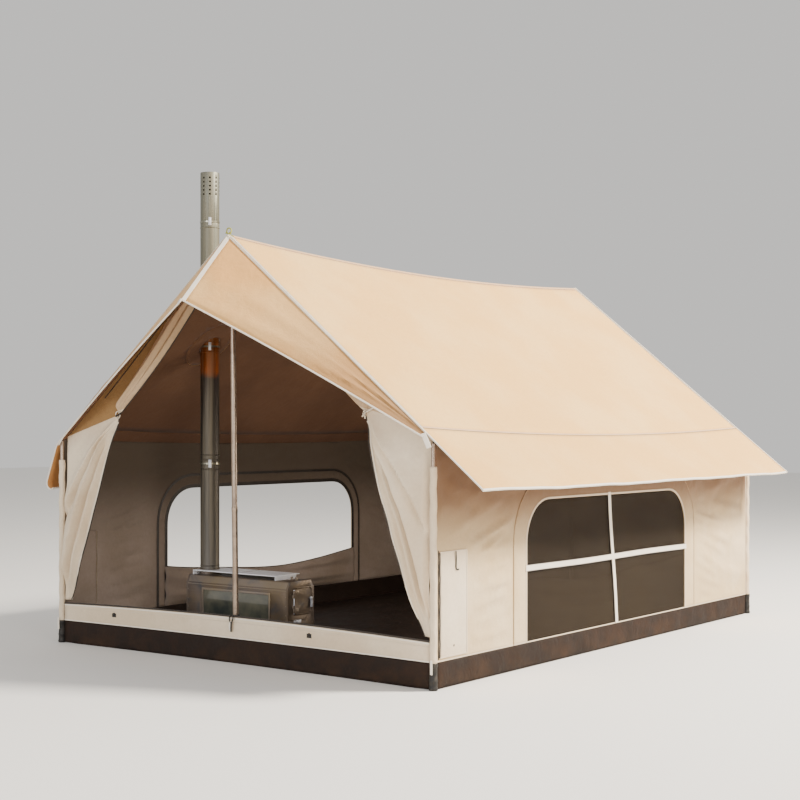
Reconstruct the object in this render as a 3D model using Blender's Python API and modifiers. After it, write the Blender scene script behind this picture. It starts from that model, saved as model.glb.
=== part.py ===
"""A ridge tent with a wood stove inside it: canvas roof, walls and tied-back doors on upright poles.

Metres, +Z up. The origin is the centre of the footprint on the ground, the door faces -Y, and +X
is to the right of someone who looks in through the door. Canvas is modelled as a thin shell.
"""

import math

import bmesh
import bpy
from mathutils import Matrix, Vector

# Footprint and roof
WIDTH = 2.40
LENGTH = 3.30
RIDGE_HEIGHT = 2.05
EAVE_INSET = 0.07
WALL_TOP_HEIGHT = 1.0714
WING_LENGTH = 0.42
RIDGE_SAG = 0.056
EAVE_SAG = 0.038
WING_SAG = 0.008
ROOF_BAYS = 16
ROOF_ROWS = 6
RIGHT_WING_ROWS = 3

# Left wing, which hangs down and curls in at its hem
DROOP_START = 0.02
DROOP_BEND = 0.05
DROOP_FALL = 0.18
DROOP_ANGLE = math.radians(68)
CURL_ANGLE = math.radians(205)
LEFT_WING_ROWS = 14

# Canvas and running gaps
CANVAS = 0.003
MESH_THICKNESS = 0.002
GAP = 0.0003
SEAM_GAP = 0.0012
OVERRUN = 0.01

# Beak over the door
BEAK_REACH = 0.31
BEAK_DROP = 0.333
BEAK_CORNER_INSET = 0.035
BEAK_CORNER_DEPTH = 0.016
BEAK_HEM_SAG = 0.012
BEAK_COLUMNS = 10
BEAK_ROWS = 3

# Tub floor and sill
FLOOR_THICKNESS = 0.003
TUB_HEIGHT = 0.117
SILL_HEIGHT = 0.208
SILL_RISE = 0.016
FRONT_BOW = 0.03
FRONT_BAYS = 12

# Corner poles
CORNER_POLE_RADIUS = 0.011
SLEEVE_RADIUS = 0.016
SLEEVE_TOP = 0.96
BOOT_RADIUS = 0.020
BOOT_SOLE = 0.004

# Upright poles
POLE_RADIUS = 0.014
POLE_FOOT_RADIUS = 0.019
POLE_FOOT_HEIGHT = 0.030
POLE_FOOT_SOLE = 0.004

# Windows in the side walls
WINDOW_FRONT = 0.76
WINDOW_WIDTH = 1.68
WINDOW_TOP = 0.785
WINDOW_CORNER = 0.20
WINDOW_ARC_STEPS = 8
BAR_WIDTH = 0.030
BAR_HEIGHT = 0.465
BAR_OVERLAP = 0.016
BAR_LEAN = 0.040

# Inner window covers, dropped
COVER_OVERLAP = 0.02
COVER_LIFT = 0.0016
RIGHT_COVER_TOP = 0.42
LEFT_COVER_TOP = 0.345
COVER_TOP_SAG = 0.055
COVER_BULGE = 0.045
COVER_RIPPLE = 0.010
COVER_COLUMNS = 20
COVER_ROWS = 8
COVER_BELLY_SHARE = 0.75
COVER_END_RATE = 4
COVER_FOOT_RATE = 3
COVER_WAVES = 2

# Ports in the side walls and the flaps over them
PORT_FRONT = 0.04
PORT_WIDTH = 0.216
PORT_BOTTOM = 0.130
PORT_TOP = 0.592
PORT_LAP = 0.018
PORT_CORNER = 0.012
PORT_ARC_STEPS = 3

# Doors, tied back to the sides
LEAF_INSET = 0.022
LEAF_TOP_GAP = 0.001
RIGHT_TIE_INSET = 0.385
LEFT_TIE_INSET = 0.415
TIE_HEIGHT = 1.195
LEAF_FOOT_INSET = 0.055
LEAF_FOLDS = 3.5
LEAF_FOLD_DEPTH = 0.022
LEAF_TIE_SHARE = 0.5
LEAF_FOLD_SHARE = 0.75
LEAF_FLARE_SHARE = 0.52
LEAF_DROP_SHARE = 0.5
LEAF_HANG_RATE = 3
LEAF_HEM_RATE = 4
LEAF_ROWS = 24
LEAF_COLUMNS = 16
TOGGLE_RADIUS = 0.005
TOGGLE_LENGTH = 0.034

# Strap that holds the sill to the front pole, and the loop at the apex
STRAP_WIDTH = 0.012
STRAP_RADIUS = 0.003
STRAP_DROP = 0.070
LOOP_RADIUS = 0.015
LOOP_CORD_RADIUS = 0.003

# Stove
STOVE_FROM_WALL = 0.56
STOVE_LENGTH = 0.70
STOVE_FRONT = 0.36
STOVE_DEPTH = 0.20
STOVE_BOTTOM = 0.130
STOVE_TOP = 0.362
STOVE_WALL = 0.003
HEADER_HEIGHT = 0.040
HEADER_SLOPE = 0.020
LEG_RADIUS = 0.006
LEG_INSET = 0.06
LEG_SPLAY = 0.015
PLATE_RAISE = 0.024
PLATE_THICKNESS = 0.004
PLATE_LEFT_INSET = 0.025
PLATE_RIGHT_INSET = 0.10
PLATE_LIP = 0.006
GLASS_LEFT_INSET = 0.125
GLASS_WIDTH = 0.45
GLASS_BOTTOM_RAISE = 0.040
GLASS_HEIGHT = 0.120
GLASS_THICKNESS = 0.004
GLASS_LAP = 0.010
FRAME_WIDTH = 0.012
FRAME_THICKNESS = 0.005
GRATE_RAISE = 0.020
GRATE_THICKNESS = 0.004
GRATE_CLEARANCE = 0.006
GRATE_SLOTS = 7
GRATE_SLOT_WIDTH = 0.010

# Stove door, hinge and latch
DOOR_FRONT_INSET = 0.044
DOOR_WIDTH = 0.140
DOOR_BOTTOM_RAISE = 0.062
DOOR_HEIGHT = 0.140
DOOR_THICKNESS = 0.003
DOOR_CORNER = 0.018
DOOR_OVERLAP = 0.010
DOOR_ARC_STEPS = 5
HINGE_OFFSET = 0.009
HINGE_SETBACK = 0.0065
KNUCKLE_RADIUS = 0.006
KNUCKLE_LENGTH = 0.022
KNUCKLE_END_INSET = 0.014
LUG_HEIGHT = 0.016
LUG_HALF_WIDTH = 0.0048
PIN_RADIUS = 0.003
PIN_OVERHANG = 0.004
PIN_CLEARANCE = 0.0003
LATCH_EDGE_INSET = 0.014
LATCH_HEIGHT = 0.080
LATCH_SHAFT_RADIUS = 0.003
LATCH_BOSS_RADIUS = 0.007
LATCH_STANDOFF = 0.004
LATCH_HANDLE_LENGTH = 0.046
LATCH_HANDLE_WIDTH = 0.010
LATCH_HANDLE_THICKNESS = 0.005

# Air slide under the stove door
SLIDE_LENGTH = 0.055
SLIDE_HEIGHT = 0.016
SLIDE_TRAVEL = 0.025
SLIDE_BOTTOM_RAISE = 0.024
SLIDE_THICKNESS = 0.003
GUIDE_HEIGHT = 0.005
GUIDE_THICKNESS = 0.005
AIR_HOLE_RADIUS = 0.005
AIR_HOLES = 2

# Flue
FLUE_RADIUS = 0.050
FLUE_WALL = 0.0025
FLUE_FROM_STOVE_LEFT = 0.070
FLUE_PIPE_LENGTHS = (0.580, 0.614, 0.654)
FLUE_CAP_LENGTH = 0.260
FLUE_SIDES = 28
COLLAR_WALL = 0.004
COLLAR_HEIGHT = 0.020
CAP_LID = 0.003
CAP_HOLE_RADIUS = 0.0055
CAP_HOLE_ROWS = 5
CAP_HOLE_COLUMNS = 9
CAP_HOLE_PITCH = 0.0215
CAP_HOLE_TOP_INSET = 0.030
CAP_HOLE_SIDES = 8
CLIP_WIDTH = 0.014
CLIP_LENGTH = 0.042
CLIP_THICKNESS = 0.004
CLIP_AZIMUTH = math.radians(-45.9)
JACK_RADIUS = 0.125

ROUND_SIDES = 16
SMALL_SIDES = 10

# Values that follow from the sizes above
EAVE_REACH = WIDTH / 2 - EAVE_INSET
BEAK_CORNER_REACH = WIDTH / 2 - BEAK_CORNER_INSET
LEAF_FOOT_REACH = WIDTH / 2 - LEAF_FOOT_INSET
SLOPE = (RIDGE_HEIGHT - WALL_TOP_HEIGHT) / (WIDTH / 2)
SLOPE_ANGLE = math.atan(SLOPE)
SHELL_RISE = CANVAS / 2 / math.cos(SLOPE_ANGLE)
RIDGE_HALF_GAP = CANVAS / 2 * math.sin(SLOPE_ANGLE) + GAP / 2
POLE_INSET = FRONT_BOW + CANVAS + GAP + POLE_FOOT_RADIUS
FRONT = -LENGTH / 2
REAR = LENGTH / 2
STOVE_LEFT = STOVE_FROM_WALL - WIDTH / 2
STOVE_RIGHT = STOVE_LEFT + STOVE_LENGTH
STOVE_FRONT_Y = FRONT + STOVE_FRONT
STOVE_REAR_Y = STOVE_FRONT_Y + STOVE_DEPTH
FLUE_JOINTS = [STOVE_TOP + sum(FLUE_PIPE_LENGTHS[:i]) for i in (1, 2, 3)]
FLUE_TOP = STOVE_TOP + sum(FLUE_PIPE_LENGTHS) + FLUE_CAP_LENGTH
FLUE_X = STOVE_LEFT + FLUE_FROM_STOVE_LEFT
FLUE_Y = (STOVE_FRONT_Y + STOVE_REAR_Y) / 2
WINDOW_MIDDLE = FRONT + WINDOW_FRONT + WINDOW_WIDTH / 2
FLOOR_TOP = FLOOR_THICKNESS + GAP

for thing in list(bpy.data.objects):
    bpy.data.objects.remove(thing)

PARTS = bpy.data.collections.new("hot_tent")
CUTTERS = bpy.data.collections.new("cutters")
bpy.context.scene.collection.children.link(PARTS)
bpy.context.scene.collection.children.link(CUTTERS)


def material(name, colour, roughness, metallic=0.0):
    """A Principled material, from a linear colour."""
    made = bpy.data.materials.new(name)
    made.use_nodes = True
    shader = made.node_tree.nodes["Principled BSDF"]
    shader.inputs["Base Color"].default_value = (*colour, 1)
    shader.inputs["Roughness"].default_value = roughness
    shader.inputs["Metallic"].default_value = metallic
    made.diffuse_color = (*colour, 1)
    return made


ROOF_CANVAS = material("roof_canvas", (0.72, 0.50, 0.31), 0.85)
WALL_CANVAS = material("wall_canvas", (0.66, 0.56, 0.43), 0.88)
TUB_FABRIC = material("tub_fabric", (0.060, 0.034, 0.022), 0.6)
MESH_FABRIC = material("mesh_fabric", (0.050, 0.038, 0.026), 0.8)
BRONZE_POLE = material("bronze_pole", (0.20, 0.12, 0.07), 0.35, 0.8)
BLACK_RUBBER = material("black_rubber", (0.012, 0.011, 0.010), 0.7)
STOVE_STEEL = material("stove_steel", (0.23, 0.19, 0.16), 0.45, 0.9)
BRIGHT_STEEL = material("bright_steel", (0.70, 0.71, 0.74), 0.3, 1.0)
FLUE_STEEL = material("flue_steel", (0.30, 0.29, 0.26), 0.35, 1.0)
STOVE_GLASS = material("stove_glass", (0.03, 0.035, 0.03), 0.1)
JACK_CLOTH = material("jack_cloth", (0.25, 0.11, 0.04), 0.8)
LOOP_WEBBING = material("loop_webbing", (0.35, 0.36, 0.08), 0.8)
BLACK_WEBBING = material("black_webbing", (0.015, 0.014, 0.013), 0.8)


def keep(name, mesh, finish, origin=(0, 0, 0)):
    """Puts a mesh, given in world coordinates, into the tent as one piece with its origin at a point."""
    mesh.transform(Matrix.Translation(-Vector(origin)))
    piece = bpy.data.objects.new(name, mesh)
    piece.location = origin
    mesh.materials.clear()
    mesh.materials.append(finish)
    PARTS.objects.link(piece)
    return piece


def cutter(name, mesh):
    """A helper that other pieces are cut or joined with."""
    piece = bpy.data.objects.new(name, mesh)
    piece.hide_render = True
    piece.display_type = "WIRE"
    CUTTERS.objects.link(piece)
    return piece


def combine(piece, other, operation="DIFFERENCE"):
    change = piece.modifiers.new(other.name, "BOOLEAN")
    change.operation = operation
    change.object = other
    change.solver = "EXACT"


def mesh_from(shape):
    mesh = bpy.data.meshes.new("shape")
    shape.to_mesh(mesh)
    shape.free()
    return mesh


def box(low, high):
    shape = bmesh.new()
    bmesh.ops.create_cube(shape, size=1)
    size = [top - bottom for bottom, top in zip(low, high)]
    bmesh.ops.scale(shape, vec=size, verts=shape.verts)
    centre = [(top + bottom) / 2 for bottom, top in zip(low, high)]
    bmesh.ops.translate(shape, vec=centre, verts=shape.verts)
    return mesh_from(shape)


def rod(start, end, radius, sides=ROUND_SIDES):
    """A cylinder from one point to another."""
    start, end = Vector(start), Vector(end)
    shape = bmesh.new()
    bmesh.ops.create_cone(
        shape,
        cap_ends=True,
        segments=sides,
        radius1=radius,
        radius2=radius,
        depth=(end - start).length,
    )
    turn = (end - start).to_track_quat("Z", "Y").to_matrix().to_4x4()
    place = Matrix.Translation((start + end) / 2) @ turn
    bmesh.ops.transform(shape, matrix=place, verts=shape.verts)
    mesh = mesh_from(shape)
    mesh.shade_smooth()
    mesh.set_sharp_from_angle(angle=math.radians(40))
    return mesh


def prism(outline, thickness, place):
    """A flat outline as a 2D curve, given a thickness about its plane, then moved by a matrix."""
    curve = bpy.data.curves.new("outline", "CURVE")
    curve.dimensions = "2D"
    curve.fill_mode = "BOTH"
    curve.extrude = thickness / 2
    spline = curve.splines.new("POLY")
    spline.points.add(len(outline) - 1)
    for point, (across, up) in zip(spline.points, outline):
        point.co = (across, up, 0, 1)
    spline.use_cyclic_u = True
    guide = bpy.data.objects.new("outline", curve)
    bpy.context.scene.collection.objects.link(guide)
    graph = bpy.context.evaluated_depsgraph_get()
    mesh = bpy.data.meshes.new_from_object(guide.evaluated_get(graph))
    bpy.data.objects.remove(guide)
    shape = bmesh.new()
    shape.from_mesh(mesh)
    bmesh.ops.remove_doubles(shape, verts=shape.verts, dist=GAP / 10)
    bmesh.ops.recalc_face_normals(shape, faces=shape.faces)
    bmesh.ops.transform(shape, matrix=place, verts=shape.verts)
    if place.to_3x3().determinant() < 0:
        bmesh.ops.reverse_faces(shape, faces=shape.faces)
    return mesh_from(shape)


def facing_x(at):
    """Places an outline of (y, z) points in the plane x = at."""
    return Matrix(((0, 0, 1, at), (1, 0, 0, 0), (0, 1, 0, 0), (0, 0, 0, 1)))


def facing_y(at):
    """Places an outline of (x, z) points in the plane y = at."""
    return Matrix(((1, 0, 0, 0), (0, 0, -1, at), (0, 1, 0, 0), (0, 0, 0, 1)))


def facing_z(at):
    """Places an outline of (x, y) points in the plane z = at."""
    return Matrix.Translation((0, 0, at))


def sheet(name, across, along, place, finish, thickness=CANVAS):
    """A cloth: a grid of cells, each corner put where place(u, v) says, then given a thickness."""
    shape = bmesh.new()
    bmesh.ops.create_grid(shape, x_segments=across, y_segments=along, size=1)
    for corner in shape.verts:
        corner.co = place((corner.co.x + 1) / 2, (corner.co.y + 1) / 2)
    mesh = mesh_from(shape)
    mesh.shade_smooth()
    cloth = keep(name, mesh, finish)
    wall = cloth.modifiers.new("thickness", "SOLIDIFY")
    wall.thickness = thickness
    wall.offset = 0
    return cloth


def rounded(low, high, radius, steps):
    """The outline of a rectangle with round corners."""
    corners = (
        (high[0] - radius, high[1] - radius, 0),
        (low[0] + radius, high[1] - radius, 1),
        (low[0] + radius, low[1] + radius, 2),
        (high[0] - radius, low[1] + radius, 3),
    )
    points = []
    for across, up, quarter in corners:
        for step in range(steps + 1):
            turn = math.pi / 2 * (quarter + step / steps)
            points.append((across + radius * math.cos(turn), up + radius * math.sin(turn)))
    return points


def mix(start, end, share):
    return start + (end - start) * share


def smooth(share):
    share = min(max(share, 0), 1)
    return share * share * (3 - 2 * share)


def station(index):
    return mix(FRONT, REAR, index / ROOF_BAYS)


def sag_share(y):
    """How much of the roof's sag is at y, straight between the stations that the cloths share."""
    bay = min(max((y - FRONT) / LENGTH * ROOF_BAYS, 0), ROOF_BAYS)
    low = min(int(bay), ROOF_BAYS - 1)
    ends = [1 - (2 * station(index) / LENGTH) ** 2 for index in (low, low + 1)]
    return mix(*ends, bay - low)


def roof_height(reach, y):
    """The height of the middle of the roof canvas at a distance from the ridge."""
    sag = mix(RIDGE_SAG, EAVE_SAG, reach / EAVE_REACH)
    return RIDGE_HEIGHT - SLOPE * reach - sag * sag_share(y)


def wing_droop(run):
    """The slope of the hanging left wing, at a distance along it from its seam."""
    straight = (WIDTH / 2 + DROOP_START - EAVE_REACH) / math.cos(SLOPE_ANGLE)
    bent = SLOPE_ANGLE + (DROOP_ANGLE - SLOPE_ANGLE) * smooth((run - straight) / DROOP_BEND)
    curl_start = straight + DROOP_BEND + DROOP_FALL
    curl = (run - curl_start) / (WING_LENGTH - curl_start)
    return bent + (CURL_ANGLE - DROOP_ANGLE) * min(max(curl, 0), 1)


def wing_profile(side, run):
    """Reach and height of a wing, without its sag, at a distance along it from its seam."""
    reach, height = EAVE_REACH, RIDGE_HEIGHT - SLOPE * EAVE_REACH
    if side > 0:
        return reach + run * math.cos(SLOPE_ANGLE), height - run * math.sin(SLOPE_ANGLE)
    steps = LEFT_WING_ROWS * 4
    for step in range(steps):
        angle = wing_droop(run * (step + 1 / 2) / steps)
        reach += run / steps * math.cos(angle)
        height -= run / steps * math.sin(angle)
    return reach, height


def wall_top(y):
    """The top of the side walls, just under the wing's canvas."""
    run = (WIDTH / 2 - EAVE_REACH) / math.cos(SLOPE_ANGLE)
    sag = mix(EAVE_SAG, WING_SAG, run / WING_LENGTH)
    return WALL_TOP_HEIGHT - sag * sag_share(y) - SHELL_RISE - SEAM_GAP


def front_bow(x):
    """How far the sill and the tub's front are drawn in at x."""
    return FRONT_BOW * (1 - (2 * x / WIDTH) ** 2)


def build_roof():
    for side, word in ((1, "right"), (-1, "left")):

        def roof_point(u, v):
            reach = mix(RIDGE_HALF_GAP, EAVE_REACH, u)
            y = mix(FRONT, REAR, v)
            return side * reach, y, roof_height(reach, y)

        def wing_point(u, v):
            run = mix(GAP, WING_LENGTH, u)
            y = mix(FRONT, REAR, v)
            reach, height = wing_profile(side, run)
            sag = mix(EAVE_SAG, WING_SAG, run / WING_LENGTH)
            return side * reach, y, height - sag * sag_share(y)

        rows = RIGHT_WING_ROWS if side > 0 else LEFT_WING_ROWS
        roof = sheet(f"roof_{word}", ROOF_ROWS, ROOF_BAYS, roof_point, ROOF_CANVAS)
        sheet(f"wing_{word}", rows, ROOF_BAYS, wing_point, ROOF_CANVAS)
        if side < 0:
            build_jack(roof, roof_point)


def build_jack(roof, roof_point):
    """The heatproof patch that is let into the roof round the flue."""
    low = (FLUE_X, FLUE_Y, WALL_TOP_HEIGHT)
    high = (FLUE_X, FLUE_Y, RIDGE_HEIGHT + OVERRUN)
    hole = cutter("jack_hole", rod(low, high, JACK_RADIUS + GAP, FLUE_SIDES))
    disc = cutter("jack_disc", rod(low, high, JACK_RADIUS, FLUE_SIDES))
    bore = cutter("jack_bore", rod(low, high, FLUE_RADIUS + GAP, FLUE_SIDES))
    jack = sheet("flue_jack", ROOF_ROWS, ROOF_BAYS, roof_point, JACK_CLOTH)
    combine(roof, hole)
    combine(jack, disc, "INTERSECT")
    combine(jack, bore)


def build_beak():
    seam = FRONT - CANVAS / 2 - GAP
    tip = Vector((0, seam - BEAK_REACH, RIDGE_HEIGHT - BEAK_DROP))
    corner_height = roof_height(BEAK_CORNER_REACH, FRONT)
    corner = Vector((BEAK_CORNER_REACH, seam, corner_height))
    hem_corner = corner + Vector((0, -BEAK_CORNER_DEPTH, -BEAK_CORNER_DEPTH))
    for side, word in ((1, "right"), (-1, "left")):

        def beak_point(u, v):
            edge = Vector((0, seam, RIDGE_HEIGHT)).lerp(corner, u)
            hem = tip.lerp(hem_corner, u)
            hem.z += BEAK_HEM_SAG * math.sin(math.pi * u)
            point = edge.lerp(hem, v)
            return side * (RIDGE_HALF_GAP + point.x), point.y, point.z

        sheet(f"beak_{word}", BEAK_COLUMNS, BEAK_ROWS, beak_point, ROOF_CANVAS)


def window_outline(inset, bottom):
    """Outline (y, z) of a window: a square foot and two round shoulders."""
    low = WINDOW_MIDDLE - WINDOW_WIDTH / 2 + inset
    high = WINDOW_MIDDLE + WINDOW_WIDTH / 2 - inset
    top = WINDOW_TOP - inset
    radius = WINDOW_CORNER - inset
    points = [(low, bottom), (high, bottom)]
    for centre, quarter in ((high - radius, 0), (low + radius, 1)):
        for step in range(WINDOW_ARC_STEPS + 1):
            turn = math.pi / 2 * (quarter + step / WINDOW_ARC_STEPS)
            across = centre + radius * math.cos(turn)
            points.append((across, top - radius + radius * math.sin(turn)))
    return points


def port_outline(inset):
    low = (FRONT + PORT_FRONT + inset, PORT_BOTTOM + inset)
    high = (FRONT + PORT_FRONT + PORT_WIDTH - inset, PORT_TOP - inset)
    return rounded(low, high, PORT_CORNER, PORT_ARC_STEPS)


def build_side_walls():
    """The right wall in one piece, and the left one in two widths of cloth with a seam over its window."""
    for side, word in ((1, "right"), (-1, "left")):
        middle = side * (WIDTH / 2 - CANVAS / 2)
        cut = CANVAS + OVERRUN
        window = prism(window_outline(0, TUB_HEIGHT - OVERRUN), cut, facing_x(middle))
        window = cutter(f"window_{word}", window)
        port = cutter(f"port_{word}", prism(port_outline(PORT_LAP), cut, facing_x(middle)))
        if side > 0:
            wall = build_wall("wall_right", side, FRONT, REAR, (FRONT, REAR))
            combine(wall, window)
            combine(wall, port)
        else:
            wall = build_wall("wall_left_front", side, FRONT, WINDOW_MIDDLE - GAP / 2, (FRONT,))
            combine(wall, window)
            combine(wall, port)
            wall = build_wall("wall_left_rear", side, WINDOW_MIDDLE + GAP / 2, REAR, (REAR,))
            combine(wall, window)
        build_port_flap(side, word)


def build_wall(name, side, low, high, pole_places):
    """A width of wall cloth between two distances along the tent, with sleeves for the poles at its ends."""
    bore = CORNER_POLE_RADIUS + GAP
    edge = (SLEEVE_RADIUS + bore) / 2 - GAP
    bottom = TUB_HEIGHT + GAP
    start = low + edge if low in pole_places else low
    end = high - edge if high in pole_places else high
    between = [station(i) for i in range(ROOF_BAYS + 1) if start < station(i) < end]
    outline = [(start, bottom), (end, bottom)]
    outline += [(y, wall_top(y)) for y in reversed([start] + between + [end])]
    middle = side * (WIDTH / 2 - CANVAS / 2)
    wall = keep(name, prism(outline, CANVAS, facing_x(middle)), WALL_CANVAS)
    for index, y in enumerate(pole_places):
        foot, top = (side * WIDTH / 2, y, bottom), (side * WIDTH / 2, y, SLEEVE_TOP)
        combine(wall, cutter(f"{name}_sleeve_{index}", rod(foot, top, SLEEVE_RADIUS)), "UNION")
        foot, top = (side * WIDTH / 2, y, 0), (side * WIDTH / 2, y, RIDGE_HEIGHT)
        combine(wall, cutter(f"{name}_bore_{index}", rod(foot, top, bore)))
    return wall


def build_port_flap(side, word):
    """The flap over a port, sewn along its rear edge."""
    middle = side * (WIDTH / 2 + GAP + CANVAS / 2)
    hinge = (middle, FRONT + PORT_FRONT + PORT_WIDTH, PORT_BOTTOM)
    flap = prism(port_outline(0), CANVAS, facing_x(middle))
    keep(f"port_flap_{word}", flap, WALL_CANVAS, hinge)


def build_rear_wall():
    bottom = TUB_HEIGHT + GAP
    edge = WIDTH / 2 - SLEEVE_RADIUS - GAP
    drop = SHELL_RISE + SEAM_GAP
    eave = roof_height(edge, REAR) - drop
    outline = [(-edge, bottom), (edge, bottom), (edge, eave)]
    outline += [(0, RIDGE_HEIGHT - drop), (-edge, eave)]
    middle = REAR - CANVAS / 2
    keep("wall_rear", prism(outline, CANVAS, facing_y(middle)), WALL_CANVAS)


def build_tub():
    """The groundsheet, its four upstands and the canvas sill under the door."""
    front = [mix(WIDTH / 2, -WIDTH / 2, i / FRONT_BAYS) for i in range(FRONT_BAYS + 1)]
    outline = [(-WIDTH / 2, REAR), (WIDTH / 2, REAR)]
    outline += [(x, FRONT + front_bow(x)) for x in front]
    outline.reverse()
    middle = FLOOR_THICKNESS / 2
    floor = keep("groundsheet", prism(outline, FLOOR_THICKNESS, facing_z(middle)), TUB_FABRIC)
    for index, (x, y) in enumerate(corner_places()):
        low, high = (x, y, -OVERRUN), (x, y, OVERRUN)
        combine(floor, cutter(f"floor_notch_{index}", rod(low, high, BOOT_RADIUS + GAP)))
    inset = BOOT_RADIUS + GAP
    for side, word in ((1, "right"), (-1, "left")):
        inner, outer = side * (WIDTH / 2 - CANVAS), side * WIDTH / 2
        low = (min(inner, outer), FRONT + inset, FLOOR_TOP)
        high = (max(inner, outer), REAR - inset, TUB_HEIGHT)
        keep(f"tub_wall_{word}", box(low, high), TUB_FABRIC)
    low = (-WIDTH / 2 + inset, REAR - CANVAS, FLOOR_TOP)
    high = (WIDTH / 2 - inset, REAR, TUB_HEIGHT)
    keep("tub_wall_rear", box(low, high), TUB_FABRIC)
    reach = WIDTH / 2 - inset

    def tub_point(u, v):
        x = mix(-reach, reach, u)
        y = FRONT + front_bow(x) + CANVAS / 2
        return x, y, mix(FLOOR_TOP, TUB_HEIGHT, v)

    def sill_point(u, v):
        x = mix(-reach, reach, u)
        y = FRONT + front_bow(x) + CANVAS / 2
        top = SILL_HEIGHT + SILL_RISE * (1 - (2 * u - 1) ** 2)
        return x, y, mix(TUB_HEIGHT + GAP, top, v)

    sheet("tub_wall_front", FRONT_BAYS, 1, tub_point, TUB_FABRIC)
    sheet("front_sill", FRONT_BAYS, 1, sill_point, WALL_CANVAS)


def corner_places():
    return [(x, y) for y in (FRONT, REAR) for x in (-WIDTH / 2, WIDTH / 2)]


def build_corner_poles():
    words = ("front_left", "front_right", "rear_left", "rear_right")
    outer = WIDTH / 2 + CORNER_POLE_RADIUS
    top = RIDGE_HEIGHT - SLOPE * outer - SHELL_RISE - GAP
    for word, (x, y) in zip(words, corner_places()):
        boot = keep(f"corner_boot_{word}", rod((x, y, 0), (x, y, TUB_HEIGHT), BOOT_RADIUS), BLACK_RUBBER)
        low, high = (x, y, BOOT_SOLE), (x, y, TUB_HEIGHT + OVERRUN)
        combine(boot, cutter(f"boot_bore_{word}", rod(low, high, CORNER_POLE_RADIUS + GAP)))
        low, high = (x, y, BOOT_SOLE + GAP), (x, y, top)
        keep(f"corner_pole_{word}", rod(low, high, CORNER_POLE_RADIUS), BRONZE_POLE)


def build_upright_poles():
    for y, word in ((FRONT + POLE_INSET, "front"), (REAR - POLE_INSET, "rear")):
        top = roof_height(POLE_RADIUS, y) - SHELL_RISE - GAP
        low, high = (0, y, FLOOR_TOP), (0, y, FLOOR_TOP + POLE_FOOT_HEIGHT)
        foot = keep(f"pole_foot_{word}", rod(low, high, POLE_FOOT_RADIUS), BLACK_RUBBER)
        base = FLOOR_TOP + POLE_FOOT_SOLE
        low, high = (0, y, base), (0, y, base + POLE_FOOT_HEIGHT)
        combine(foot, cutter(f"foot_bore_{word}", rod(low, high, POLE_RADIUS + GAP)))
        low, high = (0, y, base + GAP), (0, y, top)
        keep(f"{word}_pole", rod(low, high, POLE_RADIUS), BRONZE_POLE)


def ring(centre, radius, cord_radius, upright, steps=ROUND_SIDES):
    """A closed ring of cord, lying flat or standing in the plane of the door."""
    shape = bmesh.new()
    place = Matrix.Translation((radius, 0, 0)) @ Matrix.Rotation(math.pi / 2, 4, "X")
    bmesh.ops.create_circle(shape, segments=SMALL_SIDES, radius=cord_radius, matrix=place)
    bmesh.ops.spin(
        shape,
        geom=list(shape.verts) + list(shape.edges),
        axis=(0, 0, 1),
        cent=(0, 0, 0),
        steps=steps,
        angle=2 * math.pi,
        use_merge=True,
    )
    bmesh.ops.remove_doubles(shape, verts=shape.verts, dist=GAP / 10)
    bmesh.ops.recalc_face_normals(shape, faces=shape.faces)
    if upright:
        turn = Matrix.Rotation(math.pi / 2, 4, "X")
        bmesh.ops.transform(shape, matrix=turn, verts=shape.verts)
    bmesh.ops.translate(shape, vec=centre, verts=shape.verts)
    return mesh_from(shape)


def build_small_straps():
    pole_y = FRONT + POLE_INSET
    ring_radius = POLE_RADIUS + GAP + STRAP_RADIUS
    sill_top = SILL_HEIGHT + SILL_RISE
    ring_z = sill_top + GAP + STRAP_RADIUS
    sill_face = FRONT + front_bow(0) - GAP
    hoop = ring((0, pole_y, ring_z), ring_radius, STRAP_RADIUS, False)
    strap = keep("pole_hook", hoop, BLACK_WEBBING)
    half = STRAP_WIDTH / 2
    top = sill_top + GAP + CANVAS
    low = (-half, sill_face - CANVAS, sill_top + GAP)
    high = (half, pole_y - ring_radius, top)
    combine(strap, cutter("strap_link", box(low, high)), "UNION")
    low = (-half, sill_face - CANVAS, sill_top - STRAP_DROP)
    high = (half, sill_face, top - GAP)
    combine(strap, cutter("strap_tail", box(low, high)), "UNION")
    peak = RIDGE_HEIGHT - SLOPE * RIDGE_HALF_GAP + CANVAS / 2 * math.cos(SLOPE_ANGLE)
    loop_z = peak + GAP + LOOP_RADIUS + LOOP_CORD_RADIUS
    centre = (0, FRONT + LOOP_CORD_RADIUS, loop_z)
    keep("apex_loop", ring(centre, LOOP_RADIUS, LOOP_CORD_RADIUS, True), LOOP_WEBBING)


def leaf_edge(points, share):
    """A point along a bent edge that is given by its corners, each with its own share."""
    for (low, start), (high, end) in zip(points, points[1:]):
        if share <= high:
            return start.lerp(end, (share - low) / (high - low))
    return points[-1][1]


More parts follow.
